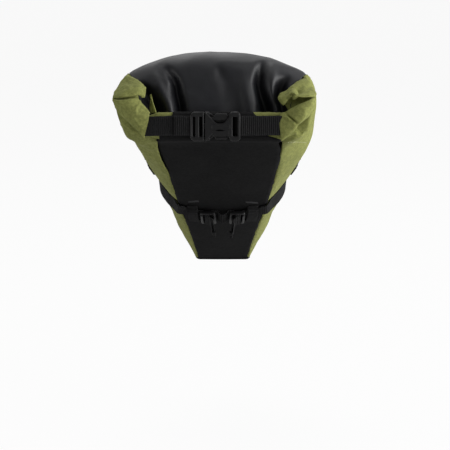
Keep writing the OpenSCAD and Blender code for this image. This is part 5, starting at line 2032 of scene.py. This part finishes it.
@dataclass(frozen=True)
class Report:
    """Works out how far each thing shows from its image point."""

    sight: Sight

    def _corners(self, name: str, way: Place | None = None, depth: float = 0.0, low: float = -1e3,
                 high: float = 1e3) -> Array:
        """Vertices of a finished piece in metres, or only its last few millimetres in one direction.

        Args:
            name: The piece.
            way: Direction whose far end is wanted.
            depth: How much of that end, in millimetres.
            low: Lowest x that counts, in millimetres.
            high: Highest x that counts, in millimetres.

        Returns:
            The vertices.
        """
        places = finished(bpy.data.objects[name])[0]
        places = places[(places[:, 0] > low * MM) & (places[:, 0] < high * MM)]
        if way is None:
            return places
        reach = places @ unit(vec(*way))
        return places[reach > reach.max() - depth * MM]

    def things(self) -> dict[str, Array]:
        """What each image point but the object's four sides stands for."""
        return {
            "buckle_socket": self._corners("closing_buckle_socket"),
            "buckle_plug": self._corners("closing_buckle_plug", high=Closure.mouth_x),
            "left_ear_tip": self._corners("side_gusset_left", (-0.25, 0, 1), 1.5, high=-70),
            "right_ear_tip": self._corners("side_gusset_right", (0.25, 0, 1), 1.5, low=55),
            "left_roll_end": self._corners("roll_end_fold_left", (0.3, 0, -1), 2.0),
            "right_roll_end": self._corners("roll_end_fold_right", (-0.3, 0, -1), 2.0),
            "left_keeper": self._corners("keeper_left"),
            "right_keeper": self._corners("keeper_right"),
            "left_bar_tack": self._corners("keeper_tacks", high=0),
            "right_bar_tack": self._corners("keeper_tacks", low=0),
            "gusset_stitches": self._corners("gusset_stitches"),
        }

    def points(self) -> dict[str, list[float]]:
        """Distance in x and y of each thing, in pixels, from its image point."""
        everything = self.sight.pixels(np.concatenate([finished(piece)[0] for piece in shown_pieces()]))
        (left, top), (right, bottom) = everything.min(axis=0), everything.max(axis=0)
        found: dict[str, list[float]] = {}
        for name, value in (("object_left", left), ("object_right", right)):
            found[name] = [round(float(value) - IMAGE_POINTS[name][0], 2), 0.0]
        for name, value in (("object_top", top), ("object_bottom", bottom)):
            found[name] = [0.0, round(float(value) - IMAGE_POINTS[name][1], 2)]
        for name, places in self.things().items():
            shown = self.sight.pixels(places)
            middle = (shown.min(axis=0) + shown.max(axis=0)) / 2
            found[name] = [round(float(at) - point, 2) for at, point in zip(middle, IMAGE_POINTS[name])]
        return found


@dataclass(frozen=True)
class Studio:
    """Plain pale floor and soft light; a lamp holds its place, aim, size and power."""

    floor_z: float = -0.16
    floor_half: float = 15.0
    lamps: tuple[tuple[str, Place, Place, float, float], ...] = (
        ("overhead_lamp", (0.1, -0.25, 1.9), (0.0, -0.1, 0.08), 1.0, 0.7),
        ("right_lamp", (1.85, -0.6, 0.12), (0.0, -0.15, 0.08), 2.6, 84.0),
        ("left_lamp", (-1.7, -0.5, 0.05), (0.0, -0.15, 0.08), 1.4, 10.0),
        ("ridge_lamp", (-0.2, 0.75, 1.8), (0.0, -0.18, 0.16), 1.4, 12.0),
    )

    def build(self) -> None:
        """Makes the floor, the lamps and the surroundings."""
        self._floor()
        self._world()
        for name, place, aim, size, power in self.lamps:
            data = bpy.data.lights.new(name, "AREA")
            data.shape, data.size, data.energy = "DISK", size, power
            lamp = into_scene(name, data)
            lamp.location = place
            lamp.rotation_euler = (Vector(aim) - Vector(place)).to_track_quat("-Z", "Y").to_euler()
        bpy.context.scene.view_settings.view_transform = "Standard"

    @staticmethod
    def _finish(tree: bpy.types.NodeTree, kind: str, share: Wave, plain: Wave, backdrop: Wave) -> None:
        """Gives a tree an output of this kind: the plain shader, or the backdrop by its share."""
        mixed = Nodes(tree).add("ShaderNodeMixShader", {}, {0: share, 1: plain, 2: backdrop})
        Nodes(tree).fill(tree.nodes.new(kind), {"Surface": mixed})

    def _floor(self) -> None:
        """Makes the floor: pale, white to the camera, and still shaded under the bag."""
        half = self.floor_half
        corners = [(half * x, half * y, self.floor_z) for x, y in ((-1, -1), (1, -1), (1, 1), (-1, 1))]
        mesh = bpy.data.meshes.new("floor")
        mesh.from_pydata(corners, [], [(0, 1, 2, 3)])
        material = bpy.data.materials.new("pale_floor")
        material.use_nodes = True
        nodes = Nodes(material.node_tree)
        nodes.tree.nodes.clear()
        grey, pale = (nodes.add("ShaderNodeBsdfDiffuse", {}, {"Color": (k, k, k, 1)}) for k in (0.55, 0.9))
        white = nodes.add("ShaderNodeEmission", {}, {"Color": (1, 1, 1, 1), "Strength": 1.0})
        both = nodes.add("ShaderNodeMixShader", {}, {0: 0.93, 1: pale, 2: white})
        self._finish(nodes.tree, "ShaderNodeOutputMaterial", nodes.background_share(0.35), grey, both)
        mesh.materials.append(material)
        into_scene("floor", mesh)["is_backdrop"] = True

    def _world(self) -> None:
        """Makes the surroundings: white to the camera, brighter from above than from the sides."""
        world = bpy.data.worlds.new("studio_air")
        world.use_nodes = True
        bpy.context.scene.world = world
        nodes = Nodes(world.node_tree)
        nodes.tree.nodes.clear()
        _, back, up = nodes.split(nodes.add("ShaderNodeTexCoord", output="Generated"))
        seen = nodes.background_share((back + up * 0.5).between(-0.35, 0.75))
        strengths = (up.between(-0.1, 0.95) * 0.17 + 0.075, 1.0)
        light, white = (nodes.add("ShaderNodeBackground", {}, {"Color": (1, 1, 1, 1), "Strength": strength})
                        for strength in strengths)
        self._finish(nodes.tree, "ShaderNodeOutputWorld", seen, light, white)


def dress_nodes(frame: dict[str, object]) -> None:
    """Gives every CAD node that stays in view the finish of its slot.
    """
    finishes = (GREEN, COATED, BASE, LINING, WEBBING, PLASTIC, BOARD, RUBBER)
    by_slot = {finish.slot.value: finish for finish in finishes}
    for node in frame["nodes"].values():
        for holder in node.material_slots:
            key = holder.material.name.split(".")[0] if holder.material else ""
            if key in by_slot:
                holder.material = by_slot[key].material()
            else:
                LOG.info("node %s has slot %s", node.name, key)


def main() -> None:
    """Builds the bag's looks in order and reports each piece."""
    logging.basicConfig(level=logging.INFO, format="%(message)s")
    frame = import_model()
    view = PhotoView()
    sight = Sight(view, view.build())
    dress_nodes(frame)
    LEFT_GUSSET.build()
    right = RIGHT_GUSSET.build()
    TopPanel().build()
    base = BasePanel().build()
    NosePanel().build()
    for part in (Roll(), LEFT_END, RIGHT_END, Closure(), LowerStrap(), RailStraps(), PostStrap()):
        part.build()
    Sewing(sight).build(base, right)
    Studio().build()
    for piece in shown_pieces():
        LOG.info("%s: %d vertices", piece.name, len(piece.data.vertices))
    Report(sight).points()


if __name__ == "__main__":
    main()
